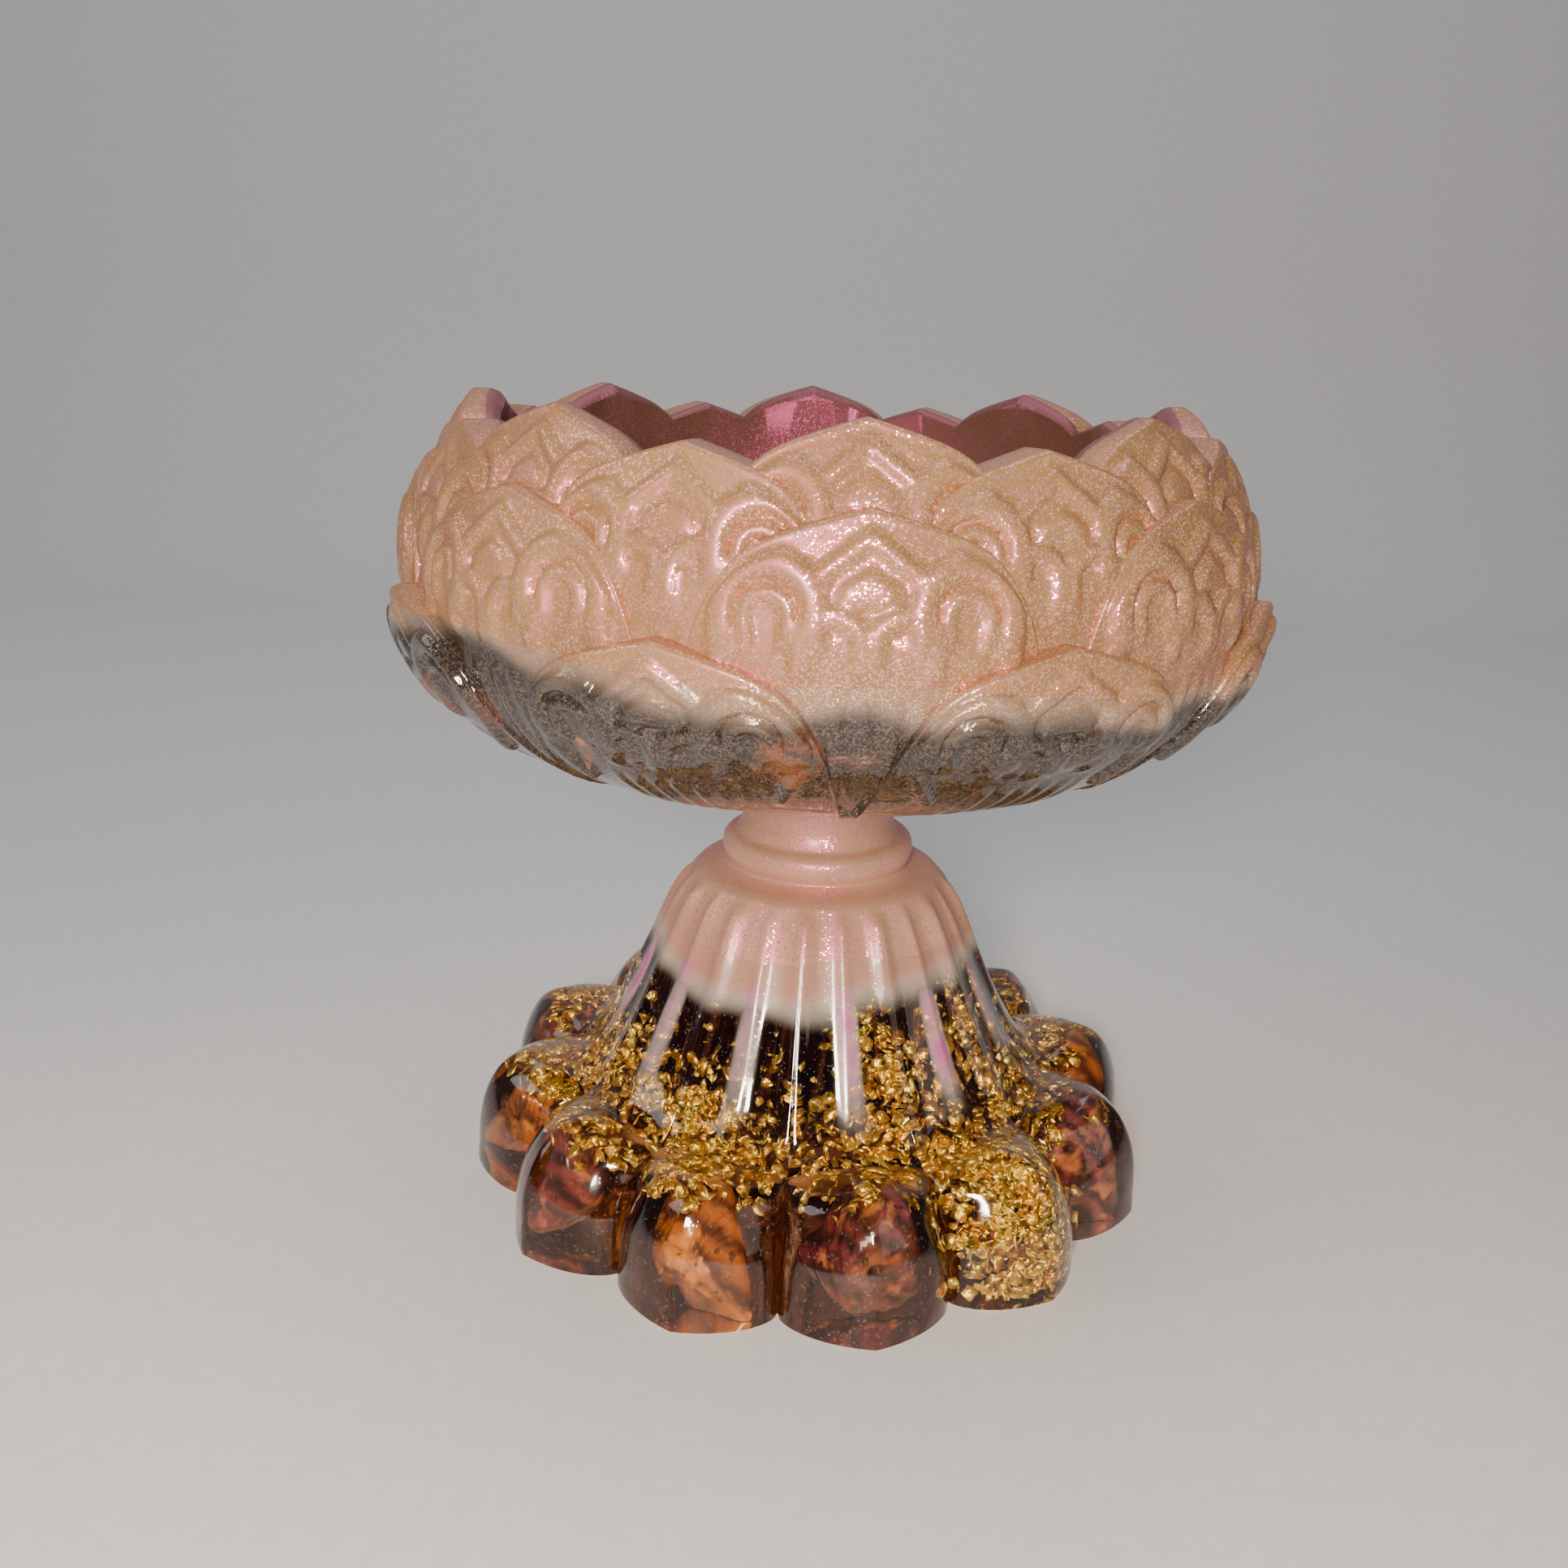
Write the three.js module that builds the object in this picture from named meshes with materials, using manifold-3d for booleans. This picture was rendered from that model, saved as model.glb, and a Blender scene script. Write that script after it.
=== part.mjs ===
// A lotus pedestal dish cast in epoxy resin, in millimetres, +Z up.
// It is two castings bonded at the neck: a bowl of four overlapping petal tiers, and a fluted foot that
// spreads into twelve petal lobes. Each casting is two pours, pearl resin and clear amber resin, and the
// clear pours hold chips of amber and amethyst. The origin is the centre of the foot's flat underside.
import * as THREE from "three";
import { ConvexGeometry } from "three/addons/geometries/ConvexGeometry.js";
import { mergeVertices } from "three/addons/utils/BufferGeometryUtils.js";
import Module from "manifold-3d";

const wasm = await Module();
wasm.setup();

// ---- Driving dimensions -------------------------------------------------------------------------------

const FIT_GAP = 0.3; // clearance between two neighbouring pours, and round a chip in its pocket
const BOND_THICKNESS = 0.5; // the glue line between the neck and the bowl

const FOOT_LOBES = 12;
const FOOT_TURN = 10.85; // degrees, azimuth of the first lobe from the front, towards +X
const FOOT_TIP_RADIUS = 41.2;
const FOOT_CREASE_DEPTH = 5.9; // how far the crease between two lobes lies inside their tips
const FOOT_HEIGHT = 51.7; // underside to the neck's top pad
const LOBE_HEIGHT = 14.2; // crest of a lobe
const LOBE_LENGTH = 12.2; // from the tip in to where the crests run into the bell
const BELL_TOP_RADIUS = 14.6; // where the fluted bell meets the neck
const RIB_HEIGHT = 0.9; // the rib between two flutes, and half as much for the midrib
const NECK_LENGTH = 14.3; // bell to bond
const NECK_RADIUS = 9;
const NECK_RING_STEP = 2.2; // the ring under the neck stands out this far, and its top pad the next
const NECK_PAD_STEP = 1.6;
const NECK_RING_HEIGHT = 3.2;
const NECK_PAD_HEIGHT = 1.8;

const BOWL_PETALS = 8; // in each tier
const BOWL_TURN = 4.1; // degrees, azimuth of the first even petal
const BOWL_DISC_RADIUS = 25.5; // the flat underside
const BOWL_RADIUS = 49.2; // over the tips of the lowest tier
const BOWL_HEIGHT = 39.8; // underside to the highest petal tip
const BOWL_BELLY_HEIGHT = 20.8; // where the bowl is widest
const BOWL_RIM_INSET = 5.8; // how far the outermost line draws in from the belly to the rim
const PETAL_HALF_WIDTH = 18; // degrees
const PETAL_CURL = 0.8; // how far a petal's sides lie behind its middle
const PETAL_EDGE_ROUND = 0.8;
const RIM_WALL = 3.9; // cup to the highest petals' tips
const BELLY_WALL = 12.2; // cup to the lowest petals' tips, where both are widest
const CUP_BELLY_DROP = 12; // the cup's widest place, below the rim
const CUP_FLOOR_THICKNESS = 7;
const CUP_FLOOR_INSET = 1.5; // inside the underside's edge

// Each tier's tips below the highest tip, how deep the tier lies behind the outermost line, and whether
// its petals stand on the even or the odd azimuths.
const TIERS = [
  { drop: 0, depth: 3.5, odd: false },
  { drop: 2.4, depth: 2.8, odd: true },
  { drop: 7, depth: 1.5, odd: false },
  { drop: 18.4, depth: 0, odd: true },
];

const FOOT_POUR_DROP = 5.4; // the foot's pearl resin ends this far below the bell's top
const BOWL_POUR_HEIGHT = 17.8; // the bowl's pearl resin ends this far above its underside
const POUR_TILT = 0.06; // rise of the bowl's pour line per millimetre towards -X
const POUR_WAVE = 0.8;

const FOOT_CHIP_SIZE = 11; // a stone chip across
const FOOT_CHIP_INSET = 7.8; // a foot chip's middle inside the lobe's tip
const BOWL_CHIP_SIZE = 6.4;
const BOWL_CHIP_INSET = 3; // a bowl chip's middle inside the outermost line
const BOWL_CHIP_HEIGHT = 11.2; // and above the bowl's underside
const BOWL_CHIPS = [
  { azimuth: -62, stone: "amber" },
  { azimuth: -48, stone: "amethyst" },
  { azimuth: -30, stone: "amber" },
  { azimuth: -4, stone: "amber" },
  { azimuth: 5.5, stone: "amethyst" },
  { azimuth: 72, stone: "amethyst" },
  { azimuth: 118, stone: "amber" },
  { azimuth: 163, stone: "amber" },
  { azimuth: 208, stone: "amethyst" },
  { azimuth: 253, stone: "amber" },
];

// ---- Worked-out values --------------------------------------------------------------------------------

const BELL_WAIST_RADIUS = FOOT_TIP_RADIUS - LOBE_LENGTH;
const BELL_TOP_HEIGHT = FOOT_HEIGHT - NECK_LENGTH;
const NECK_RING_RADIUS = NECK_RADIUS + NECK_RING_STEP;
const NECK_PAD_RADIUS = NECK_RADIUS + NECK_PAD_STEP;
const BOND_RADIUS = NECK_PAD_RADIUS - FIT_GAP;
const BOWL_BASE = FOOT_HEIGHT + BOND_THICKNESS;
const RIM_Z = BOWL_BASE + BOWL_HEIGHT;
const CUP_RIM_RADIUS = BOWL_RADIUS - BOWL_RIM_INSET - TIERS[0].depth - RIM_WALL;
const CUP_BELLY_RADIUS = BOWL_RADIUS - BELLY_WALL;
const CUP_FLOOR_RADIUS = BOWL_DISC_RADIUS - CUP_FLOOR_INSET;
const CUP_FLOOR_Z = BOWL_BASE + CUP_FLOOR_THICKNESS;

const radians = THREE.MathUtils.degToRad;
const smooth = THREE.MathUtils.smoothstep;
const mix = THREE.MathUtils.lerp;
const spot = (radius, height) => new THREE.Vector2(radius, height);

// ---- Materials ----------------------------------------------------------------------------------------

const pearlResin = new THREE.MeshStandardMaterial({ color: 0xcdb49c, roughness: 0.28, metalness: 0.15 });
const clearResin = new THREE.MeshStandardMaterial({ color: 0x8a6224, roughness: 0.12, metalness: 0 });
const bondResin = new THREE.MeshStandardMaterial({ color: 0xd8cbb8, roughness: 0.3, metalness: 0 });
const amberStone = new THREE.MeshStandardMaterial({ color: 0xb8651c, roughness: 0.3, metalness: 0 });
const amethystStone = new THREE.MeshStandardMaterial({ color: 0x3d1c30, roughness: 0.3, metalness: 0 });

// ---- Solids -------------------------------------------------------------------------------------------

function solidFrom(geometry) {
  const bare = geometry.clone();
  bare.deleteAttribute("normal");
  bare.deleteAttribute("uv");
  const merged = mergeVertices(bare, 1e-4);
  return new wasm.Manifold(
    new wasm.Mesh({
      numProp: 3,
      vertProperties: new Float32Array(merged.attributes.position.array),
      triVerts: new Uint32Array(merged.index.array),
    }),
  );
}

function geometryFrom(solid) {
  const mesh = solid.getMesh();
  const positions = new Float32Array(mesh.numVert * 3);
  for (let i = 0; i < mesh.numVert; i++) {
    const start = i * mesh.numProp;
    positions.set(mesh.vertProperties.subarray(start, start + 3), i * 3);
  }
  const geometry = new THREE.BufferGeometry();
  geometry.setAttribute("position", new THREE.BufferAttribute(positions, 3));
  geometry.setIndex(new THREE.BufferAttribute(mesh.triVerts, 1));
  return geometry;
}

function turned(profile, segments) {
  return solidFrom(new THREE.LatheGeometry(profile, segments).rotateX(Math.PI / 2));
}

// A point at an azimuth, which runs from the front (-Y) towards +X.
function polar(radius, angle, height) {
  return new THREE.Vector3(radius * Math.sin(angle), -radius * Math.cos(angle), height);
}

// A turned blank with one column of points for each angle, moved onto place(angle, row), which gives a
// radius and a height.
function shapedLathe(angles, rows, place) {
  const blank = Array.from({ length: rows }, (_, row) => spot(1, row));
  const lathe = new THREE.LatheGeometry(blank, angles.length);
  for (let column = 0; column <= angles.length; column++) {
    const angle = angles[column % angles.length];
    for (let row = 0; row < rows; row++) {
      const { x: radius, y: height } = place(angle, row);
      lathe.attributes.position.setXYZ(column * rows + row, ...polar(radius, angle, height));
    }
  }
  return solidFrom(lathe);
}

// Angles for a ring of repeats, closer together towards the two edges of each repeat.
function ringAngles(repeats, turn, columns) {
  return Array.from({ length: repeats * columns }, (_, i) => {
    const across = (2 * (i % columns)) / columns - 1;
    const eased = Math.sign(across) * (1 - (1 - Math.abs(across)) ** 1.6);
    return turn + ((Math.floor(i / columns) + eased / 2) * 2 * Math.PI) / repeats;
  });
}

// How far an angle lies from the middle of its repeat: -1 and 1 are the repeat's two edges.
function acrossRepeat(angle, repeats, turn) {
  const steps = ((angle - turn) * repeats) / (2 * Math.PI);
  return 2 * (steps - Math.round(steps));
}

// ---- Foot ---------------------------------------------------------------------------------------------

// The line up the middle of a lobe and the line up the crease beside it. They keep the same places along
// the bell, so the surface between them is a blend of the two.
function bellLine(outer, crestDrop, belowCrest) {
  const waist = spot(BELL_WAIST_RADIUS, LOBE_HEIGHT - 0.6 - belowCrest);
  const top = spot(BELL_TOP_RADIUS, BELL_TOP_HEIGHT);
  const flare = (out, up) => spot(mix(waist.x, top.x, out), mix(waist.y, top.y, up));
  return new THREE.SplineCurve([
    spot(outer, 0),
    spot(outer, (LOBE_HEIGHT - crestDrop) * 0.34),
    spot(outer - 0.5, (LOBE_HEIGHT - crestDrop) * 0.66),
    spot(outer - 2.2, (LOBE_HEIGHT - crestDrop) * 0.9),
    spot(mix(outer, waist.x, 0.46), LOBE_HEIGHT - crestDrop * 0.8),
    spot(mix(outer, waist.x, 0.75), LOBE_HEIGHT - crestDrop * 0.5),
    waist,
    flare(0.18, 0.07),
    flare(0.35, 0.22),
    flare(0.52, 0.42),
    flare(0.68, 0.63),
    flare(0.84, 0.84),
    top,
  ]);
}

const lobeRidge = bellLine(FOOT_TIP_RADIUS, 0, 0);
const lobeCrease = bellLine(FOOT_TIP_RADIUS - FOOT_CREASE_DEPTH, 5, 1.2);

// The round lobe outline with its pointed tip, 0 at the crease and 1 at the tip.
function lobeBulge(across) {
  return 0.6 * Math.sqrt(1 - across * across) + 0.4 * (1 - Math.abs(across));
}

// Ribs between the flutes of the bell: a full one over each crease and a half one up each lobe.
function ribHeight(across, along) {
  const onBell = smooth(along, 0.5, 0.68) * (1 - smooth(along, 0.94, 1));
  const rib = Math.exp(-(((1 - Math.abs(across)) / 0.28) ** 2));
  const midrib = 0.5 * Math.exp(-((across / 0.2) ** 2));
  return RIB_HEIGHT * onBell * (rib + midrib);
}

function bellSolid() {
  const bellRows = 17;
  const turn = radians(FOOT_TURN);
  return shapedLathe(ringAngles(FOOT_LOBES, turn, 8), bellRows + 2, (angle, row) => {
    if (row === 0) return spot(0, 0);
    if (row > bellRows) return spot(0, BELL_TOP_HEIGHT);
    const along = (row - 1) / (bellRows - 1);
    const across = acrossRepeat(angle, FOOT_LOBES, turn);
    const point = lobeCrease.getPoint(along).lerp(lobeRidge.getPoint(along), lobeBulge(across));
    return point.setX(point.x + ribHeight(across, along));
  });
}

function neckSolid() {
  const ringBase = BELL_TOP_HEIGHT + 1.2;
  const ringTop = ringBase + NECK_RING_HEIGHT;
  const padBase = FOOT_HEIGHT - NECK_PAD_HEIGHT;
  return turned(
    [
      spot(0, BELL_TOP_HEIGHT - 1),
      spot(BELL_TOP_RADIUS - 1.6, BELL_TOP_HEIGHT - 1),
      spot(NECK_RING_RADIUS, ringBase),
      spot(NECK_RING_RADIUS + 0.3, (ringBase + ringTop) / 2),
      spot(NECK_RING_RADIUS - 0.4, ringTop - 0.4),
      spot(NECK_RADIUS + 0.7, ringTop + 0.5),
      spot(NECK_RADIUS, ringTop + 2),
      spot(NECK_RADIUS, padBase - 1.2),
      spot(NECK_PAD_RADIUS, padBase),
      spot(NECK_PAD_RADIUS, FOOT_HEIGHT),
      spot(0, FOOT_HEIGHT),
    ],
    40,
  );
}

// ---- Bowl ---------------------------------------------------------------------------------------------

// Radius of the outermost line at a height: a full round belly, drawn in towards the rim.
function bowlLine(height) {
  const rise = (height - BOWL_BASE) / BOWL_BELLY_HEIGHT;
  if (rise < 1) return mix(BOWL_DISC_RADIUS, BOWL_RADIUS, (1 - (1 - rise) ** 2.2) ** 0.6);
  const overBelly = (height - BOWL_BASE - BOWL_BELLY_HEIGHT) / (BOWL_HEIGHT - BOWL_BELLY_HEIGHT);
  return BOWL_RADIUS - BOWL_RIM_INSET * overBelly ** 2;
}

// One tier of petals, as a solid from the axis out to the petals' faces. Between two petals its edge drops
// nearly to the underside. A petal's outline is a pointed arch with round shoulders. The outermost tier
// holds the whole underside, and the others start a little way up inside it.
function tierSolid(tier) {
  const turn = radians(BOWL_TURN) + (tier.odd ? Math.PI / BOWL_PETALS : 0);
  const faceRows = 7;
  const start = BOWL_BASE + (tier.depth > 0 ? 1 + tier.depth / 2 : 0);
  const lowestEdge = BOWL_BASE + 4;
  return shapedLathe(ringAngles(BOWL_PETALS, turn, 12), faceRows + 4, (angle, row) => {
    const fromMiddle = Math.abs(acrossRepeat(angle, BOWL_PETALS, turn)) * (180 / BOWL_PETALS);
    const across = fromMiddle / PETAL_HALF_WIDTH;
    const arch = 3.2 * across ** 1.2 + 8 * across ** 6;
    const edge = Math.max(lowestEdge, RIM_Z - tier.drop - arch);
    if (row === 0) return spot(0, start);
    if (row === faceRows + 3) return spot(0, edge);
    const along = Math.min(1, (row - 1) / (faceRows - 1));
    const height = mix(start, edge - PETAL_EDGE_ROUND, along ** 1.6);
    const spread = mix(0.5, 1, smooth(height, BOWL_BASE, BOWL_BASE + BOWL_BELLY_HEIGHT));
    const face = bowlLine(height) - spread * (tier.depth + PETAL_CURL * across ** 2);
    if (row <= faceRows) return spot(face, height);
    const topSteps = row - faceRows;
    return spot(topSteps === 1 ? face - PETAL_EDGE_ROUND : BOWL_DISC_RADIUS / 2, edge);
  });
}

function cupSolid() {
  return turned(
    [
      spot(0, CUP_FLOOR_Z),
      spot(CUP_FLOOR_RADIUS, CUP_FLOOR_Z),
      spot(mix(CUP_FLOOR_RADIUS, CUP_BELLY_RADIUS, 0.36), CUP_FLOOR_Z + 2),
      spot(mix(CUP_FLOOR_RADIUS, CUP_BELLY_RADIUS, 0.7), CUP_FLOOR_Z + 7),
      spot(mix(CUP_FLOOR_RADIUS, CUP_BELLY_RADIUS, 0.93), mix(CUP_FLOOR_Z + 7, RIM_Z - CUP_BELLY_DROP, 0.5)),
      spot(CUP_BELLY_RADIUS, RIM_Z - CUP_BELLY_DROP),
      spot(CUP_RIM_RADIUS, RIM_Z - 2),
      spot(CUP_RIM_RADIUS, RIM_Z + 2),
      spot(0, RIM_Z + 2),
    ],
    64,
  );
}

function bowlSolid() {
  const [first, ...others] = TIERS.map(tierSolid);
  const joined = others.reduce((body, tier) => body.add(tier), first);
  return joined.subtract(cupSolid());
}

// ---- Pours --------------------------------------------------------------------------------------------

// Everything below a gently waved surface, for parting a casting into its two pours.
function belowPourLine(height, tilt) {
  const reach = 1.3 * Math.max(BOWL_RADIUS, FOOT_TIP_RADIUS);
  const rings = [1, 0.75, 0.5, 0.25].map((share) => reach * share);
  const lastRow = rings.length + 2;
  return shapedLathe(ringAngles(1, 0, 40), rings.length + 3, (angle, row) => {
    if (row === 0) return spot(0, -reach);
    if (row === 1) return spot(reach, -reach);
    if (row === lastRow) return spot(0, height);
    const radius = rings[row - 2];
    const wave = POUR_WAVE * (Math.sin(3 * angle + 0.6) + 0.5 * Math.sin(7 * angle));
    return spot(radius, height - tilt * radius * Math.sin(angle) + wave * (radius / reach) ** 0.5);
  });
}

function partPours(casting, height, tilt) {
  const clear = casting.intersect(belowPourLine(height, tilt));
  const pearl = casting.subtract(belowPourLine(height + FIT_GAP, tilt));
  return { clear, pearl };
}

// ---- Stone chips --------------------------------------------------------------------------------------

// A broken stone: points on a squashed ball, pushed in and out by a fixed pattern for each seed.
function chipPoints(seed, size) {
  const count = 14;
  const golden = Math.PI * (3 - Math.sqrt(5));
  return Array.from({ length: count }, (_, i) => {
    const up = 1 - (2 * (i + 0.5)) / count;
    const flat = Math.sqrt(1 - up * up);
    const around = golden * i + seed;
    const reach = (size / 2) * (1 + 0.16 * Math.sin(seed * 12.9 + i * 4.1));
    const way = new THREE.Vector3(flat * Math.cos(around), flat * Math.sin(around), up * 0.9);
    return way.multiplyScalar(reach);
  });
}

// A hull round the chip's points and the same points pushed along the way out of the casting.
function chipHull(points, growth, middle, wayOut) {
  const near = points.map((point) => point.clone().multiplyScalar(growth).add(middle));
  const far = near.map((point) => point.clone().add(wayOut));
  return solidFrom(new ConvexGeometry([...near, ...far]));
}

// A chip that lies against the casting's surface and is ground flush with it, and the pocket round it.
function setChip(seed, size, casting, middle, wayOut) {
  const points = chipPoints(seed, size);
  const inRadius = size * 0.33;
  return {
    stone: chipHull(points, 1, middle, wayOut).intersect(casting),
    pocket: chipHull(points, 1 + FIT_GAP / inRadius, middle, wayOut),
  };
}

// ---- Assembly -----------------------------------------------------------------------------------------

const lotus = new THREE.Group();

function addPiece(name, solid, material) {
  const piece = new THREE.Mesh(geometryFrom(solid), material);
  piece.name = name;
  lotus.add(piece);
}

function addChip(place, stoneKind, seed, size, casting, pour, middle, wayOut) {
  const { stone, pocket } = setChip(seed, size, casting, middle, wayOut);
  pour.clear = pour.clear.subtract(pocket);
  addPiece(`${place}_${stoneKind}_chip_${seed}`, stone, stoneKind === "amber" ? amberStone : amethystStone);
}

const footCasting = bellSolid().add(neckSolid());
const bowlCasting = bowlSolid();
const footPours = partPours(footCasting, BELL_TOP_HEIGHT - FOOT_POUR_DROP, 0);
const bowlPours = partPours(bowlCasting, BOWL_BASE + BOWL_POUR_HEIGHT, POUR_TILT);

// One chip in each foot lobe, amethyst and amber in turn, flush with the flat underside.
for (let i = 0; i < FOOT_LOBES; i++) {
  const azimuth = radians(FOOT_TURN + (360 / FOOT_LOBES) * i);
  const middle = polar(FOOT_TIP_RADIUS - FOOT_CHIP_INSET, azimuth, FOOT_CHIP_SIZE * 0.62);
  const wayOut = new THREE.Vector3(0, 0, -FOOT_CHIP_SIZE);
  const stone = i % 2 ? "amber" : "amethyst";
  addChip("foot", stone, i + 1, FOOT_CHIP_SIZE, footCasting, footPours, middle, wayOut);
}

// Chips round the curve under the bowl, flush with its outside.
BOWL_CHIPS.forEach(({ azimuth, stone }, i) => {
  const angle = radians(azimuth);
  const height = BOWL_BASE + BOWL_CHIP_HEIGHT;
  const middle = polar(bowlLine(height) - BOWL_CHIP_INSET, angle, height);
  const wayOut = polar(BOWL_CHIP_SIZE, angle, -BOWL_CHIP_SIZE * 0.8);
  addChip("bowl", stone, FOOT_LOBES + i + 1, BOWL_CHIP_SIZE, bowlCasting, bowlPours, middle, wayOut);
});

const bondFilm = turned(
  [
    spot(0, FOOT_HEIGHT),
    spot(BOND_RADIUS, FOOT_HEIGHT),
    spot(BOND_RADIUS, BOWL_BASE),
    spot(0, BOWL_BASE),
  ],
  40,
);

addPiece("foot_clear_pour", footPours.clear, clearResin);
addPiece("foot_pearl_pour", footPours.pearl, pearlResin);
addPiece("bond_film", bondFilm, bondResin);
addPiece("bowl_clear_pour", bowlPours.clear, clearResin);
addPiece("bowl_pearl_pour", bowlPours.pearl, pearlResin);

export default lotus;
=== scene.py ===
"""The looks of a lotus pedestal bowl: two epoxy castings, a petalled bowl bonded to a fluted foot.

Every size is in millimetres until a mesh is made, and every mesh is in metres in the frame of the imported
model. Azimuths run from the front (-Y) towards +X.
"""

from __future__ import annotations

import logging
import math
from dataclasses import dataclass, field
from enum import Enum

import bmesh
import bpy
import numpy as np
from mathutils import Matrix, Vector
from mathutils.bvhtree import BVHTree


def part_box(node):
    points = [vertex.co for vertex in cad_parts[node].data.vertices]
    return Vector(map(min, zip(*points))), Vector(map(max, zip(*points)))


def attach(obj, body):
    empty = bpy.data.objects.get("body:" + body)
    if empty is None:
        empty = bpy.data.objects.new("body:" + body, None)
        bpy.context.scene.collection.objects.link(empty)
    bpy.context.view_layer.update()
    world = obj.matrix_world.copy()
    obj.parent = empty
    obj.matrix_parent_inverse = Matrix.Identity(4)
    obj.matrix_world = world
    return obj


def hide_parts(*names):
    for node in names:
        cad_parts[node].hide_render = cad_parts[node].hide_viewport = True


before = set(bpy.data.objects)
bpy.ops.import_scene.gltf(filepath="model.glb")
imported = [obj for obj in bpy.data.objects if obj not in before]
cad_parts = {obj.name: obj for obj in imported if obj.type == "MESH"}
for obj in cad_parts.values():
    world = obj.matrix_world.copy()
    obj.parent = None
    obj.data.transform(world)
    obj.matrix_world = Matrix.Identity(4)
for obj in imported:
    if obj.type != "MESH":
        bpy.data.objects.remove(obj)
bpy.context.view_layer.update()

LOG = logging.getLogger("lotus_bowl")
MM = 0.001
ROOT = "root"
EASED = {"interpolation_type": "SMOOTHSTEP"}  # settings of a Map Range node
COLOURS = {"data_type": "RGBA"}  # settings of a Mix node
Bound = float | tuple[float, float, float] | bpy.types.NodeSocket


# ---- Small helpers --------------------------------------------------------------------------------------


def linear(hex_colour: str) -> tuple[float, float, float, float]:
    """Turn an sRGB hex colour, such as "C8A888", into linear RGBA.

    Args:
        hex_colour: Six hex digits.

    Returns:
        Red, green, blue and alpha.
    """
    shares = [int(hex_colour[i : i + 2], 16) / 255 for i in (0, 2, 4)]
    curve = [c / 12.92 if c <= 0.04045 else ((c + 0.055) / 1.055) ** 2.4 for c in shares]
    return (*curve, 1.0)


def smooth(value: np.ndarray, low: float, high: float) -> np.ndarray:
    """Ease from 0 at low to 1 at high."""
    share = np.clip((value - low) / (high - low), 0, 1)
    return share * share * (3 - 2 * share)


def mix(low: float, high: float, share: np.ndarray) -> np.ndarray:
    """Blend from low at share 0 to high at share 1."""
    return low + (high - low) * share


def add(tree: bpy.types.NodeTree, kind: str, inputs: dict | None = None, **settings: object
        ) -> bpy.types.Node:
    """Add a node to a tree.

    Args:
        tree: The shader or geometry node tree.
        kind: The node's type identifier.
        inputs: Socket name or number to a value, or to the output socket that is linked to it.
        settings: Attributes of the node, such as operation.

    Returns:
        The new node.
    """
    node = tree.nodes.new(kind)
    for name, value in settings.items():
        setattr(node, name, value)
    for socket, value in (inputs or {}).items():
        if isinstance(value, bpy.types.NodeSocket):
            tree.links.new(value, node.inputs[socket])
        else:
            node.inputs[socket].default_value = value
    return node


def polar(radius: np.ndarray, azimuth: np.ndarray, height: np.ndarray) -> np.ndarray:
    """Points at radii, azimuths in radians and heights."""
    return np.stack([radius * np.sin(azimuth), -radius * np.cos(azimuth), height], axis=-1)


def object_from(name: str, points_mm: np.ndarray, faces: list) -> bpy.types.Object:
    """Make a mesh object from points in millimetres and faces.

    Args:
        name: Name of the mesh and the object.
        points_mm: Points, one row each.
        faces: Point numbers of each face.

    Returns:
        The object, not yet in the scene.
    """
    mesh = bpy.data.meshes.new(name)
    mesh.from_pydata((points_mm * MM).tolist(), [], faces)
    mesh.validate()
    return bpy.data.objects.new(name, mesh)


def lathe_faces(rows: int, columns: int, closed: bool) -> list[tuple[int, ...]]:
    """Faces of a grid whose first and last rows are poles on the axis.

    Args:
        rows: Rows of points between the two poles.
        columns: Points in each row.
        closed: Whether the last column joins the first.

    Returns:
        Faces that point away from the axis, for points listed as pole, rows, pole.
    """
    top = rows * columns + 1
    faces: list[tuple[int, ...]] = []
    for c in range(columns if closed else columns - 1):
        d = (c + 1) % columns
        faces.append((0, 1 + d, 1 + c))
        last = 1 + (rows - 1) * columns
        faces.append((top, last + c, last + d))
        for r in range(rows - 1):
            low, high = 1 + r * columns, 1 + (r + 1) * columns
            faces.append((low + c, low + d, high + d, high + c))
    return faces


def lathe(name: str, grid: np.ndarray, closed: bool) -> bpy.types.Object:
    """Make a ring, or one sector of it, from a grid of points whose end rows lie on the axis.

    Args:
        name: Name of the object.
        grid: Points by row and column.
        closed: Whether the last column joins the first.

    Returns:
        The object, not yet in the scene.
    """
    rows, columns = grid.shape[0] - 2, grid.shape[1]
    points = np.vstack([grid[0, :1], grid[1:-1].reshape(-1, 3), grid[-1, :1]])
    return object_from(name, points, lathe_faces(rows, columns, closed))


def baked(carrier: bpy.types.Object, name: str) -> bpy.types.Object:
    """Evaluate an object's modifiers into a new plain object, and delete the carrier.

    Args:
        carrier: The object with the modifiers.
        name: Name of the result.

    Returns:
        The plain object, not yet in the scene.
    """
    if not carrier.users_collection:
        bpy.context.scene.collection.objects.link(carrier)
    bpy.context.view_layer.update()
    graph = bpy.context.evaluated_depsgraph_get()
    mesh = bpy.data.meshes.new_from_object(carrier.evaluated_get(graph))
    mesh.name = name
    bpy.data.objects.remove(carrier)
    return bpy.data.objects.new(name, mesh)


def input_id(tree: bpy.types.NodeTree, name: str) -> str:
    """The identifier of a node group's named input."""
    return next(i.identifier for i in tree.interface.items_tree if i.name == name and i.in_out == "INPUT")


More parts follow.
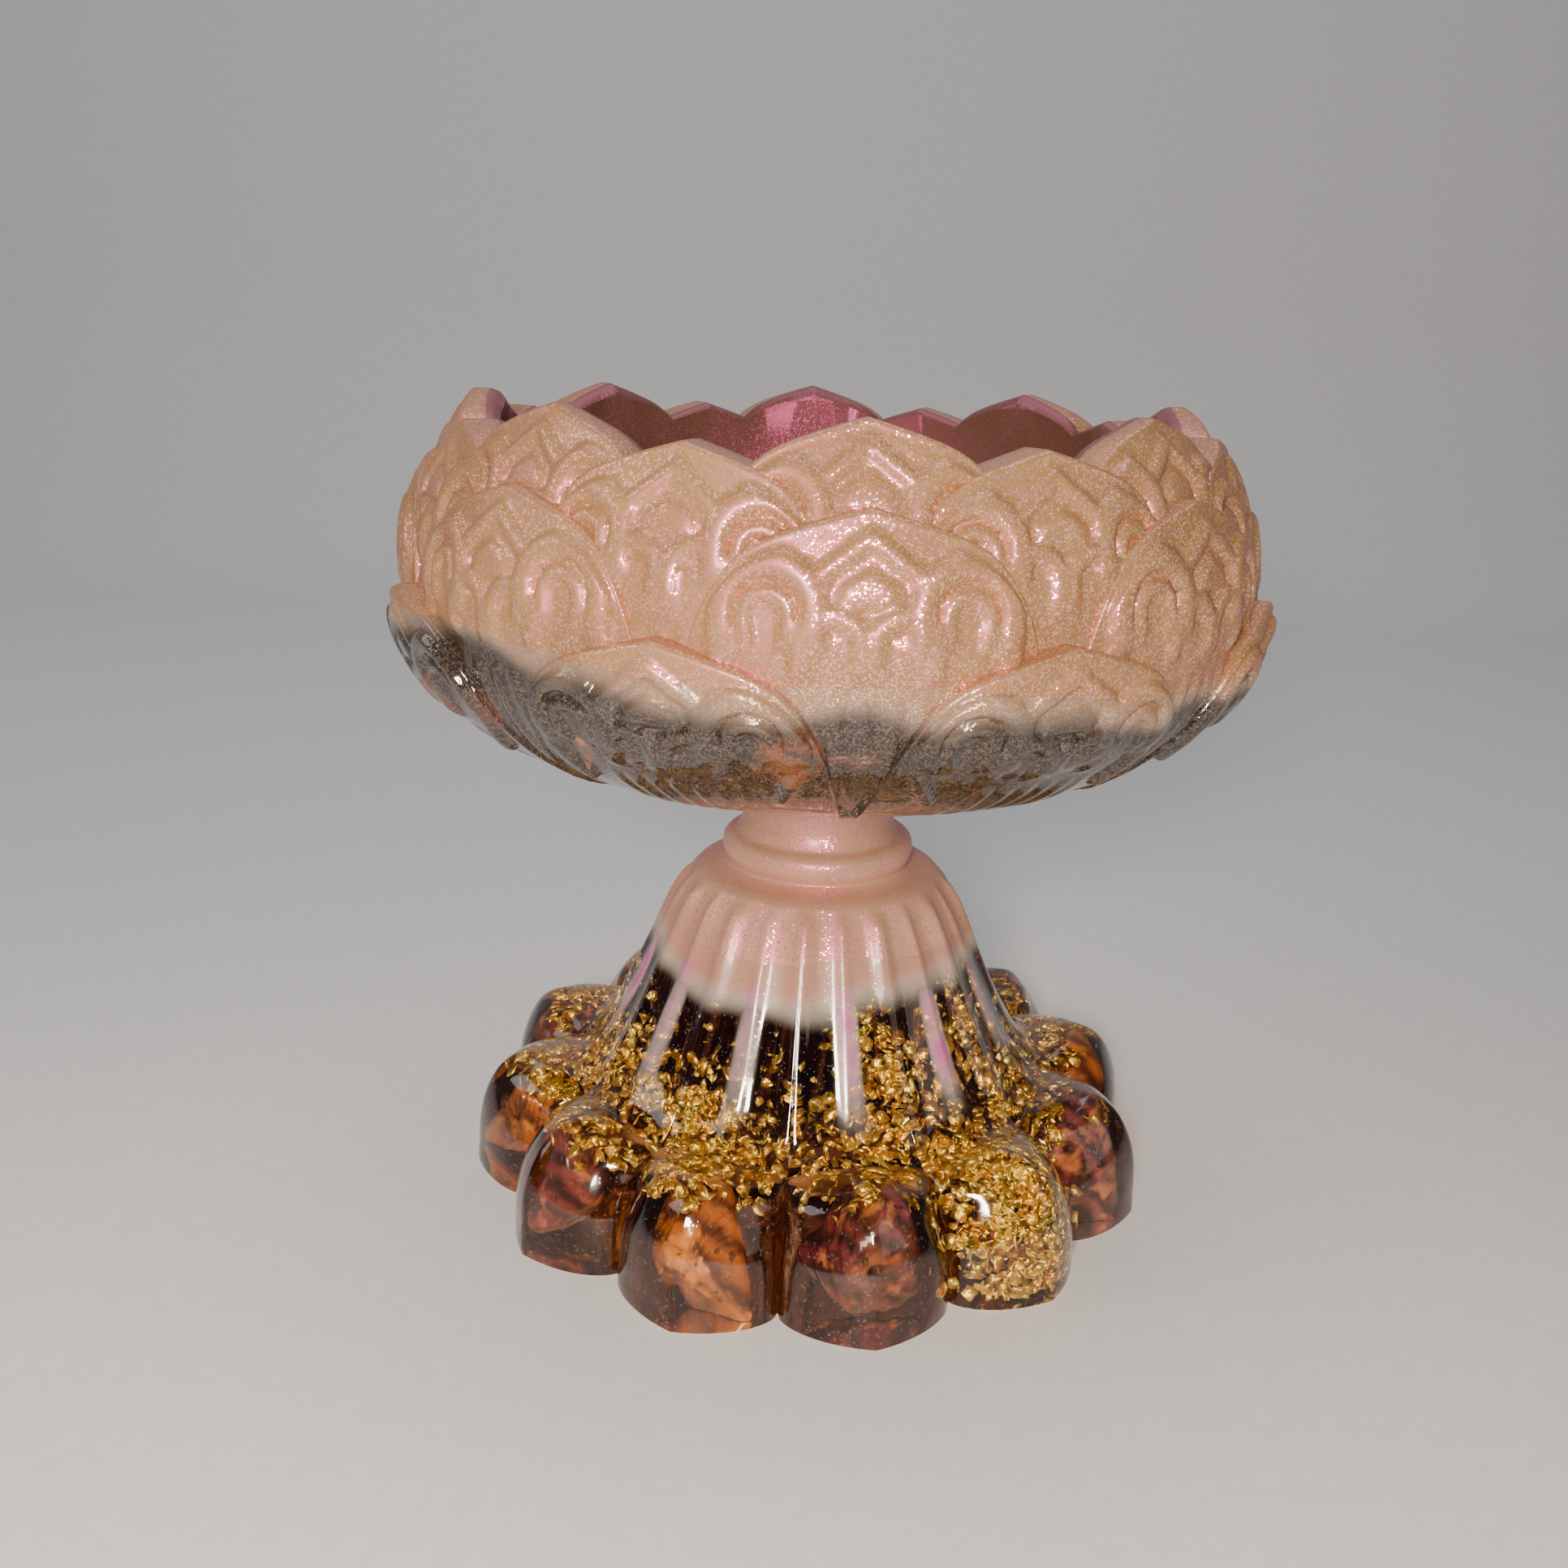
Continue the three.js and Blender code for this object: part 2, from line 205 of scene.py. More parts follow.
def run_nodes(carrier: bpy.types.Object, tree: bpy.types.NodeTree, values: dict, name: str
              ) -> bpy.types.Object:
    """Run a geometry node tree on an object and keep the result as a plain object.

    Args:
        carrier: The object to run it on, which is used up.
        tree: The geometry node tree.
        values: The tree's input names, with their values.
        name: Name of the result.

    Returns:
        The plain object.
    """
    modifier = carrier.modifiers.new(tree.name, "NODES")
    modifier.node_group = tree
    for socket, value in values.items():
        modifier[input_id(tree, socket)] = value
    return baked(carrier, name)


class Cut(Enum):
    """What a boolean step does with its tool."""

    JOIN = "UNION"
    REMOVE = "DIFFERENCE"
    KEEP = "INTERSECT"


def is_closed(piece: bpy.types.Object) -> bool:
    """Whether each edge of a mesh joins exactly two faces.

    Args:
        piece: The mesh object.

    Returns:
        True for a closed solid.
    """
    mesh = piece.data
    ends = np.empty(len(mesh.loops), np.int32)
    mesh.loops.foreach_get("edge_index", ends)
    return bool(np.all(np.bincount(ends, minlength=len(mesh.edges)) == 2))


def carved(body: bpy.types.Object, steps: list[tuple[Cut, bpy.types.Object]], name: str) -> bpy.types.Object:
    """Join, cut or intersect a body with tools, one after another, and leave the tools as they are.

    Args:
        body: The closed body to work on.
        steps: What to do, each with the closed tool to do it with.
        name: Name of the result.

    Returns:
        The result, a new closed object.
    """
    for solid in (body, *(tool for _, tool in steps)):
        if not is_closed(solid):
            raise RuntimeError(f"{name}: {solid.name} is not a closed solid")
    carrier = bpy.data.objects.new(name, body.data.copy())
    scene = bpy.context.scene.collection
    for cut, tool in steps:
        if not tool.users_collection:
            scene.objects.link(tool)
        modifier = carrier.modifiers.new(cut.name, "BOOLEAN")
        modifier.operation = cut.value
        modifier.solver = "MANIFOLD"
        modifier.object = tool
    result = baked(carrier, name)
    if not is_closed(result):
        raise RuntimeError(f"{name}: the result is not a closed solid")
    return result


def core_of(host: bpy.types.Object, skin: float) -> bpy.types.Object:
    """Make a body whose surface lies a skin's thickness, in millimetres, inside the host's.

    Args:
        host: The closed body.
        skin: How far the surface moves in.

    Returns:
        A new object.
    """
    mesh = host.data.copy()
    normals = np.empty(len(mesh.vertices) * 3, np.float32)
    mesh.vertices.foreach_get("normal", normals)
    places = np.empty_like(normals)
    mesh.vertices.foreach_get("co", places)
    mesh.vertices.foreach_set("co", places - skin * MM * normals)
    mesh.update()
    return bpy.data.objects.new(f"{host.name}_core", mesh)


def discard(*objects: bpy.types.Object) -> None:
    """Delete helper objects."""
    for item in objects:
        bpy.data.objects.remove(item)


# ---- Geometry node trees --------------------------------------------------------------------------------


def new_geometry_tree(name: str, inputs: dict[str, str]) -> tuple[bpy.types.NodeTree, bpy.types.Node]:
    """Make a geometry node tree with named inputs.

    Args:
        name: The tree's name.
        inputs: Input name to socket type.

    Returns:
        The tree and its Group Input node.
    """
    tree = bpy.data.node_groups.new(name, "GeometryNodeTree")
    tree.interface.new_socket("Geometry", in_out="INPUT", socket_type="NodeSocketGeometry")
    tree.interface.new_socket("Geometry", in_out="OUTPUT", socket_type="NodeSocketGeometry")
    for label, kind in inputs.items():
        tree.interface.new_socket(label, in_out="INPUT", socket_type=kind)
    return tree, tree.nodes.new("NodeGroupInput")


def ring_tree() -> bpy.types.NodeTree:
    """A tree that repeats one sector round the axis and welds the repeats into one closed ring.

    Returns:
        The tree, with inputs Repeats, Turn and Finish.
    """
    sockets = {"Repeats": "NodeSocketInt", "Turn": "NodeSocketFloat", "Finish": "NodeSocketMaterial"}
    tree, given = new_geometry_tree("ring_of_repeats", sockets)
    spots = add(tree, "GeometryNodeMeshLine", {"Count": given.outputs["Repeats"], "Offset": (0, 0, 0)})
    index = add(tree, "GeometryNodeInputIndex")
    pitch = add(tree, "ShaderNodeMath", {0: math.tau, 1: given.outputs["Repeats"]}, operation="DIVIDE")
    steps = {0: index.outputs[0], 1: pitch.outputs[0], 2: given.outputs["Turn"]}
    angle = add(tree, "ShaderNodeMath", steps, operation="MULTIPLY_ADD")
    turn = add(tree, "ShaderNodeCombineXYZ", {"Z": angle.outputs[0]})
    copies = {"Points": spots.outputs[0], "Instance": given.outputs["Geometry"], "Rotation": turn.outputs[0]}
    placed = add(tree, "GeometryNodeInstanceOnPoints", copies)
    real = add(tree, "GeometryNodeRealizeInstances", {"Geometry": placed.outputs[0]})
    weld = add(tree, "GeometryNodeMergeByDistance", {"Geometry": real.outputs[0], "Distance": 0.002 * MM})
    coat = {"Geometry": weld.outputs[0], "Material": given.outputs["Finish"]}
    finish = add(tree, "GeometryNodeSetMaterial", coat)
    add(tree, "NodeGroupOutput", {"Geometry": finish.outputs[0]})
    return tree


def scatter_tree() -> bpy.types.NodeTree:
    """A tree that sets flakes or bubbles under a surface.

    The surface's "scatter" attribute says where they lie: 0 is nowhere, 1 is the full density. Each one
    starts as a ball, is flattened along the surface's normal, spun, tipped and crumpled by noise.

    Returns:
        The tree. Its inputs are named in the first lines.
    """
    floats = ("Density", "Depth Low", "Depth High", "Size Low", "Size High", "Flatness", "Tip", "Crumple")
    sockets = {label: "NodeSocketFloat" for label in floats}
    sockets.update({"Seed": "NodeSocketInt", "Rounds": "NodeSocketInt", "Finish": "NodeSocketMaterial"})
    tree, given = new_geometry_tree("scatter_inside", sockets)
    value = given.outputs
    where = add(tree, "GeometryNodeInputNamedAttribute", {"Name": "scatter"}, data_type="FLOAT")
    amount = add(tree, "ShaderNodeMath", {0: where.outputs[0], 1: value["Density"]}, operation="MULTIPLY")
    surface = {"Mesh": value["Geometry"], "Density": amount.outputs[0], "Seed": value["Seed"]}
    spots = add(tree, "GeometryNodeDistributePointsOnFaces", surface)

    def chance(low: Bound, high: Bound, salt: int, kind: str = "FLOAT") -> bpy.types.NodeSocket:
        """A random value for each spot, from a seed of its own.

        Args:
            low: Least value.
            high: Greatest value.
            salt: Added to the seed.
            kind: Data type of the value.

        Returns:
            The value's socket.
        """
        seed = add(tree, "ShaderNodeMath", {0: value["Seed"], 1: float(salt)}, operation="ADD")
        node = add(tree, "FunctionNodeRandomValue", data_type=kind)
        used = [s for s in node.inputs if s.enabled]
        for socket, bound in ((used[0], low), (used[1], high)):
            if isinstance(bound, bpy.types.NodeSocket):
                tree.links.new(bound, socket)
            else:
                socket.default_value = bound
        tree.links.new(seed.outputs[0], node.inputs["Seed"])
        return next(s for s in node.outputs if s.enabled)

    depth = add(tree, "ShaderNodeMath", {0: chance(value["Depth Low"], value["Depth High"], 1), 1: -1.0},
                operation="MULTIPLY")
    inward = add(tree, "ShaderNodeVectorMath", {0: spots.outputs["Normal"], "Scale": depth.outputs[0]},
                 operation="SCALE")
    moved = {"Geometry": spots.outputs["Points"], "Offset": inward.outputs[0]}
    sunk = add(tree, "GeometryNodeSetPosition", moved)
    size = chance(value["Size Low"], value["Size High"], 2)
    narrow = add(tree, "ShaderNodeMath", {0: size, 1: chance(0.55, 1.0, 3)}, operation="MULTIPLY")
    thin = add(tree, "ShaderNodeMath", {0: size, 1: value["Flatness"]}, operation="MULTIPLY")
    shape = add(tree, "ShaderNodeCombineXYZ", {0: size, 1: narrow.outputs[0], 2: thin.outputs[0]})
    tip = {0: chance((-1, -1, -1), (1, 1, 1), 4, "FLOAT_VECTOR"), "Scale": value["Tip"]}
    lean = add(tree, "ShaderNodeVectorMath", tip, operation="SCALE")
    spin = add(tree, "ShaderNodeCombineXYZ", {2: chance(0.0, math.tau, 5)})
    facing = add(tree, "FunctionNodeRotateRotation",
                 {0: spots.outputs["Rotation"], 1: lean.outputs[0]}, rotation_space="LOCAL")
    spun = add(tree, "FunctionNodeRotateRotation",
               {0: facing.outputs[0], 1: spin.outputs[0]}, rotation_space="LOCAL")
    ball = add(tree, "GeometryNodeMeshIcoSphere", {"Radius": 1.0, "Subdivisions": value["Rounds"]})
    copies = {
        "Points": sunk.outputs[0],
        "Instance": ball.outputs[0],
        "Rotation": spun.outputs[0],
        "Scale": shape.outputs[0],
    }
    placed = add(tree, "GeometryNodeInstanceOnPoints", copies)
    real = add(tree, "GeometryNodeRealizeInstances", {"Geometry": placed.outputs[0]})
    noise = add(tree, "ShaderNodeTexNoise", {"Scale": per_mm(0.75), "Detail": 2.0})
    centred = add(tree, "ShaderNodeVectorMath", {0: noise.outputs["Color"], 1: (0.5, 0.5, 0.5)},
                  operation="SUBTRACT")
    push = add(tree, "ShaderNodeVectorMath", {0: centred.outputs[0], "Scale": value["Crumple"]},
               operation="SCALE")
    creased = add(tree, "GeometryNodeSetPosition", {"Geometry": real.outputs[0], "Offset": push.outputs[0]})
    rounded = add(tree, "GeometryNodeSetShadeSmooth", {"Geometry": creased.outputs[0]})
    coat = {"Geometry": rounded.outputs[0], "Material": value["Finish"]}
    finish = add(tree, "GeometryNodeSetMaterial", coat)
    add(tree, "NodeGroupOutput", {"Geometry": finish.outputs[0]})
    return tree


# ---- Finishes -------------------------------------------------------------------------------------------


def new_material(name: str) -> tuple[bpy.types.Material, bpy.types.NodeTree]:
    """Make an empty node material.

    Args:
        name: The material's name.

    Returns:
        The material and its node tree.
    """
    material = bpy.data.materials.new(name)
    material.use_nodes = True
    material.node_tree.nodes.clear()
    return material, material.node_tree


def per_mm(size_mm: float) -> float:
    """A texture scale that makes its cells the given size, on coordinates in metres."""
    return 1 / (size_mm * MM)


@dataclass(frozen=True)
class Mica:
    """Mica flakes stirred into resin: each flake is one cell that tips the light its own way.

    Args:
        size: Width of a flake. Real pearl mica is 0.05 to 0.2 mm; it is drawn coarse enough to be seen.
        share: Share of the surface that the flakes cover.
        tip: How far the flakes tip away from the surface.
    """

    size: float = 0.15
    share: float = 0.36
    tip: float = 0.36
    hues: tuple[str, ...] = ("CF9C88", "CDA06C", "D2AE86", "C89C68", "C896A0", "DCC09C")

    def build(self, tree: bpy.types.NodeTree, where: bpy.types.NodeSocket) -> dict[str, bpy.types.NodeSocket]:
        """Add the flakes to a shader.

        Args:
            tree: The shader's tree.
            where: Object coordinates.

        Returns:
            Sockets named mask, colour and normal.
        """
        cells = add(tree, "ShaderNodeTexVoronoi", {"Vector": where, "Scale": per_mm(self.size)})
        parts = add(tree, "ShaderNodeSeparateColor", {"Color": cells.outputs["Color"]})
        mask = add(tree, "ShaderNodeMath", {0: parts.outputs[0], 1: self.share}, operation="LESS_THAN")
        ramp = add(tree, "ShaderNodeValToRGB", {"Fac": parts.outputs[1]})
        ramp.color_ramp.interpolation = "CONSTANT"
        stops = ramp.color_ramp.elements
        while len(stops) < len(self.hues):
            stops.new(len(stops) / len(self.hues))
        for i, hue in enumerate(self.hues):
            stops[i].position = i / len(self.hues)
            stops[i].color = linear(hue)
        swing = add(tree, "ShaderNodeVectorMath", {0: cells.outputs["Color"], 1: (0.5, 0.5, 0.5)},
                    operation="SUBTRACT")
        lean = add(tree, "ShaderNodeVectorMath", {0: swing.outputs[0], "Scale": self.tip}, operation="SCALE")
        held = add(tree, "ShaderNodeVectorMath", {0: lean.outputs[0], "Scale": mask.outputs[0]},
                   operation="SCALE")
        surface = add(tree, "ShaderNodeNewGeometry")
        tipped = add(tree, "ShaderNodeVectorMath", {0: surface.outputs["Normal"], 1: held.outputs[0]},
                     operation="ADD")
        normal = add(tree, "ShaderNodeVectorMath", {0: tipped.outputs[0]}, operation="NORMALIZE")
        return {"mask": mask.outputs[0], "colour": ramp.outputs[0], "normal": normal.outputs[0]}


@dataclass(frozen=True)
class PearlEpoxy:
    """Cast epoxy with pearl mica: an opaque beige body under a clear gloss.

    The mica gives a pink sheen where light glances off it, and fine sparkle. Its coated plates have a far
    higher index than the resin, so the sheen is stronger than plain epoxy's. Inside the cup the colour is
    painted a darker mauve-brown with the sparkle nearly hidden: painted shade of the cup's hollow.

    Args:
        name: The material's name.
        body: Colour of the resin.
        shade: Colour of its darker clouds.
        inside: Painted shade colour inside the cup, a darker brown than the body.
        inside_radius: Radius within which the inside colour is full.
        sheen: Colour of the pearl's reflection.
        mica: The flakes.
    """

    name: str = "cast_pearl_epoxy"
    body: str = "9C7E48"
    shade: str = "8F723E"
    inside: str = "5A4634"
    inside_radius: float = 37.3
    sheen: str = "FF6CAC"
    mica: Mica = field(default_factory=Mica)

    def material(self) -> bpy.types.Material:
        """Build the material.

        Returns:
            The material.
        """
        material, tree = new_material(self.name)
        where = add(tree, "ShaderNodeTexCoord").outputs["Object"]
        flakes = self.mica.build(tree, where)
        cloud_noise = add(tree, "ShaderNodeTexNoise", {"Vector": where, "Scale": per_mm(14.0)}).outputs[0]
        cloud = add(tree, "ShaderNodeMapRange", {0: cloud_noise, 1: 0.35, 2: 0.65}, **EASED).outputs[0]
        outer = add(tree, "ShaderNodeMix",
                    {0: cloud, 6: linear(self.shade), 7: linear(self.body)}, **COLOURS).outputs[2]
        # Painted shade of the cup's hollow: inside the cup the colour turns darker brown and the sparkle
        # nearly goes.
        flat = add(tree, "ShaderNodeVectorMath", {0: where, 1: (1, 1, 0)}, operation="MULTIPLY")
        reach = add(tree, "ShaderNodeVectorMath", {0: flat.outputs[0]}, operation="LENGTH")
        span = {1: self.inside_radius * MM, 2: (self.inside_radius + 0.5) * MM}
        outside = add(tree, "ShaderNodeMapRange", {0: reach.outputs["Value"], **span}, **EASED).outputs[0]
        body = add(tree, "ShaderNodeMix",
                   {0: outside, 6: linear(self.inside), 7: outer}, **COLOURS).outputs[2]
        shown = add(tree, "ShaderNodeMapRange", {0: outside, 3: 0.06}, **EASED).outputs[0]
        mask = add(tree, "ShaderNodeMath", {0: flakes["mask"], 1: shown}, operation="MULTIPLY").outputs[0]
        colour = add(tree, "ShaderNodeMix", {0: mask, 6: body, 7: flakes["colour"]}, **COLOURS).outputs[2]
        metal = add(tree, "ShaderNodeMath", {0: mask, 1: 0.3}, operation="MULTIPLY")
        rough = add(tree, "ShaderNodeMapRange", {0: mask, 3: 0.46, 4: 0.2}, **EASED).outputs[0]
        inputs = {
            "Base Color": colour,
            "Metallic": metal.outputs[0],
            "Roughness": rough,
            "Normal": flakes["normal"],
            "IOR": 1.9,
            "Specular IOR Level": 1.0,
            "Specular Tint": linear(self.sheen),
            "Coat Weight": 0.14,
            "Coat Roughness": 0.16,
            "Coat IOR": 1.5,
        }
        shader = add(tree, "ShaderNodeBsdfPrincipled", inputs)
        add(tree, "ShaderNodeOutputMaterial", {"Surface": shader.outputs[0]})
        return material


@dataclass(frozen=True)
class ClearEpoxy:
    """Cast clear epoxy, tinted: glossy, deep where it is thick, and hazed where pearl mica has sunk into it.

    Args:
        name: The material's name.
        tint: Colour that the resin lets through where it is thick.
        depth: Absorption for each metre.
        clear: Colour of the surface where it is clear.
        haze_colour: Colour of the pearl haze.
        haze_top: Height where the haze is as dense as the pearl pour above it.
        haze_bottom: Height where it has thinned out.
        haze_low: Share of haze below that.
        tilt: Rise of the haze for each millimetre towards -X.
        shadow: Colour of the light that one wall lets through.
        mica: The flakes.
        speck_low: Share of the flakes that still show below the haze.
        painted_rib_sheen_colour: Painted pink-magenta sheen on the mica drawn out along the ribs.
        streak_count: Ribs round the foot, or 0 for no streaks.
        streak_turn: Azimuth of one rib, in radians.
        streak_low: Height where the streaks start.
        streak_high: Height where they have faded out.
    """

    name: str
    tint: str
    depth: float
    clear: str
    haze_colour: str
    haze_top: float
    haze_bottom: float
    haze_low: float
    tilt: float
    shadow: str
    mica: Mica
    speck_low: float = 0.16
    painted_rib_sheen_colour: str = "CC3C98"
    streak_count: int = 0
    streak_turn: float = 0.0
    streak_low: float = 15.0
    streak_high: float = 31.0

    def streaks(self, tree: bpy.types.NodeTree, where: bpy.types.NodeSocket) -> bpy.types.NodeSocket:
        """Share of mica drawn out along the ribs, under a painted pink-magenta sheen: full on a rib, none
        between ribs or off the bell.

        Args:
            tree: The shader's tree.
            where: Object coordinates.

        Returns:
            The share's socket.
        """
        if not self.streak_count:
            return add(tree, "ShaderNodeValue").outputs[0]
        split = add(tree, "ShaderNodeSeparateXYZ", {0: where})
        back = add(tree, "ShaderNodeMath", {0: split.outputs[1], 1: -1.0}, operation="MULTIPLY")
        azimuth = add(tree, "ShaderNodeMath", {0: split.outputs[0], 1: back.outputs[0]}, operation="ARCTAN2")
        turned = add(tree, "ShaderNodeMath", {0: azimuth.outputs[0], 1: self.streak_turn},
                     operation="SUBTRACT")
        phase = add(tree, "ShaderNodeMath", {0: turned.outputs[0], 1: float(self.streak_count)},
                    operation="MULTIPLY")
        wave = add(tree, "ShaderNodeMath", {0: phase.outputs[0]}, operation="COSINE")
        rib = add(tree, "ShaderNodeMapRange", {0: wave.outputs[0], 1: 0.6}, **EASED).outputs[0]
        high, low = self.streak_high * MM, self.streak_low * MM
        rise = add(tree, "ShaderNodeMapRange",
                   {0: split.outputs[2], 1: low, 2: (low + high) / 2}, **EASED).outputs[0]
        fall = add(tree, "ShaderNodeMapRange",
                   {0: split.outputs[2], 1: high - 5 * MM, 2: high, 3: 1.0, 4: 0.0}, **EASED).outputs[0]
        patchy_noise = add(tree, "ShaderNodeTexNoise", {"Vector": where, "Scale": per_mm(9.0)}).outputs[0]
        patchy = add(tree, "ShaderNodeMapRange",
                     {0: patchy_noise, 1: 0.4, 2: 0.6, 3: 0.4}, **EASED).outputs[0]
        span = add(tree, "ShaderNodeMath", {0: rise, 1: fall}, operation="MULTIPLY")
        share = add(tree, "ShaderNodeMath", {0: rib, 1: span.outputs[0]}, operation="MULTIPLY")
        return add(tree, "ShaderNodeMath", {0: share.outputs[0], 1: patchy}, operation="MULTIPLY").outputs[0]

    def material(self) -> bpy.types.Material:
        """Build the material.

        Returns:
            The material.
        """
        material, tree = new_material(self.name)
        where = add(tree, "ShaderNodeTexCoord").outputs["Object"]
        flakes = self.mica.build(tree, where)
        split = add(tree, "ShaderNodeSeparateXYZ", {0: where})
        level = add(tree, "ShaderNodeMath",
                    {0: split.outputs[0], 1: self.tilt, 2: split.outputs[2]}, operation="MULTIPLY_ADD")
        swirl_noise = add(tree, "ShaderNodeTexNoise",
                          {"Vector": where, "Scale": per_mm(16.0), "Detail": 1.0}).outputs[0]
        swirl = add(tree, "ShaderNodeMapRange",
                    {0: swirl_noise, 1: 0.3, 2: 0.7, 3: -1.2 * MM, 4: 1.2 * MM}, **EASED).outputs[0]
        height = add(tree, "ShaderNodeMath", {0: level.outputs[0], 1: swirl}, operation="ADD")
        span = {1: self.haze_bottom * MM, 2: self.haze_top * MM, 3: self.haze_low}
        fog = add(tree, "ShaderNodeMapRange", {0: height.outputs[0], **span}, **EASED).outputs[0]
        streaked = self.streaks(tree, where)
        fog = add(tree, "ShaderNodeMath", {0: fog, 1: streaked}, operation="MAXIMUM").outputs[0]
        # Painted highlight: on the real mica streaks of the ribs the haze colour turns pink-magenta, a
        # painted sheen.
        tinted = add(tree, "ShaderNodeMapRange", {0: streaked, 2: 0.35}, **EASED).outputs[0]
        ends = {6: linear(self.haze_colour), 7: linear(self.painted_rib_sheen_colour)}
        sheen = add(tree, "ShaderNodeMix", {0: tinted, **ends}, **COLOURS).outputs[2]
        resin = add(tree, "ShaderNodeMix", {0: fog, 6: linear(self.clear), 7: sheen}, **COLOURS).outputs[2]
        shown = add(tree, "ShaderNodeMapRange",
                    {0: fog, 1: 0.1, 2: 0.8, 3: self.speck_low}, **EASED).outputs[0]
        seen = add(tree, "ShaderNodeMath", {0: flakes["mask"], 1: shown}, operation="MULTIPLY")
        opaque = add(tree, "ShaderNodeMath", {0: fog, 1: seen.outputs[0]}, operation="MAXIMUM")
        glassy = add(tree, "ShaderNodeMath", {0: 1.0, 1: opaque.outputs[0]}, operation="SUBTRACT")
        colour = add(tree, "ShaderNodeMix",
                     {0: seen.outputs[0], 6: resin, 7: flakes["colour"]}, **COLOURS).outputs[2]
        metal = add(tree, "ShaderNodeMath", {0: seen.outputs[0], 1: 0.6}, operation="MULTIPLY")
        rough = add(tree, "ShaderNodeMapRange", {0: opaque.outputs[0], 3: 0.06, 4: 0.4}, **EASED).outputs[0]
        inputs = {
            "Base Color": colour,
            "Metallic": metal.outputs[0],
            "Roughness": rough,
            "Transmission Weight": glassy.outputs[0],
            "IOR": 1.5,
            "Normal": flakes["normal"],
            "Coat Weight": 0.25,
            "Coat Roughness": 0.08,
            "Coat IOR": 1.5,
        }
        shader = add(tree, "ShaderNodeBsdfPrincipled", inputs)
        path = add(tree, "ShaderNodeLightPath")
        through = add(tree, "ShaderNodeBsdfTransparent", {"Color": linear(self.shadow)})
        lit = add(tree, "ShaderNodeMath", {0: path.outputs["Is Shadow Ray"], 1: glassy.outputs[0]},
                  operation="MULTIPLY")
        sides = {0: lit.outputs[0], 1: shader.outputs[0], 2: through.outputs[0]}
        both = add(tree, "ShaderNodeMixShader", sides)
        soak = add(tree, "ShaderNodeVolumeAbsorption", {"Color": linear(self.tint), "Density": self.depth})
        add(tree, "ShaderNodeOutputMaterial", {"Surface": both.outputs[0], "Volume": soak.outputs[0]})
        return material


@dataclass(frozen=True)
class TumbledStone:
    """Tumbled semi-precious chip: bands of colour with dark joints, and a wet gloss."""

    name: str
    dark: str
    mid: str
    light: str
    band: float = 1.1

    def material(self) -> bpy.types.Material:
        """Build the material.

        Returns:
            The material.
        """
        material, tree = new_material(self.name)
        where = add(tree, "ShaderNodeTexCoord").outputs["Object"]
        inputs = {"Vector": where, "Scale": per_mm(self.band * 6.3), "Distortion": 7.0, "Detail": 3.0}
        bands = add(tree, "ShaderNodeTexWave", inputs, bands_direction="DIAGONAL")
        blotch = add(tree, "ShaderNodeTexNoise",
                     {"Vector": where, "Scale": per_mm(3.0), "Detail": 3.0}).outputs[0]
        low = add(tree, "ShaderNodeMix",
                  {0: bands.outputs["Fac"], 6: linear(self.dark), 7: linear(self.mid)}, **COLOURS).outputs[2]
        high = add(tree, "ShaderNodeMapRange", {0: blotch, 1: 0.52, 2: 0.7}, **EASED).outputs[0]
        colour = add(tree, "ShaderNodeMix", {0: high, 6: low, 7: linear(self.light)}, **COLOURS).outputs[2]
        crack_noise = add(tree, "ShaderNodeTexNoise",
                          {"Vector": where, "Scale": per_mm(1.1), "Detail": 4.0}).outputs[0]
        crack = add(tree, "ShaderNodeMapRange",
                    {0: crack_noise, 1: 0.3, 2: 0.42, 3: 1.0, 4: 0.0}, **EASED).outputs[0]
        dark = add(tree, "ShaderNodeMix", {0: crack, 6: colour, 7: linear(self.dark)}, **COLOURS).outputs[2]
        bump = add(tree, "ShaderNodeBump", {"Height": blotch, "Distance": 0.3 * MM, "Strength": 0.5})
        inputs = {
            "Base Color": dark,
            "Roughness": 0.3,
            "Normal": bump.outputs[0],
            "IOR": 1.54,
            "Coat Weight": 0.4,
            "Coat Roughness": 0.1,
        }
        shader = add(tree, "ShaderNodeBsdfPrincipled", inputs)
        add(tree, "ShaderNodeOutputMaterial", {"Surface": shader.outputs[0]})
        return material


@dataclass(frozen=True)
class GoldLeaf:
    """Crumpled imitation gold leaf: bright metal broken by fine creases."""

    name: str = "gold_leaf"
    bright: str = "FFF08C"
    deep: str = "FFD860"

    def material(self) -> bpy.types.Material:
        """Build the material.

        Returns:
            The material.
        """
        material, tree = new_material(self.name)
        where = add(tree, "ShaderNodeTexCoord").outputs["Object"]
        creases = add(tree, "ShaderNodeTexNoise",
                      {"Vector": where, "Scale": per_mm(0.9), "Detail": 4.0}).outputs[0]
        patch_noise = add(tree, "ShaderNodeTexNoise", {"Vector": where, "Scale": per_mm(2.5)}).outputs[0]
        patch = add(tree, "ShaderNodeMapRange", {0: patch_noise, 1: 0.35, 2: 0.65}, **EASED).outputs[0]
        colour = add(tree, "ShaderNodeMix",
                     {0: patch, 6: linear(self.deep), 7: linear(self.bright)}, **COLOURS).outputs[2]
        bump = add(tree, "ShaderNodeBump", {"Height": creases, "Distance": 0.35 * MM, "Strength": 0.9})
        inputs = {"Base Color": colour, "Metallic": 1.0, "Roughness": 0.36, "Normal": bump.outputs[0]}
        shader = add(tree, "ShaderNodeBsdfPrincipled", inputs)
        add(tree, "ShaderNodeOutputMaterial", {"Surface": shader.outputs[0]})
        return material


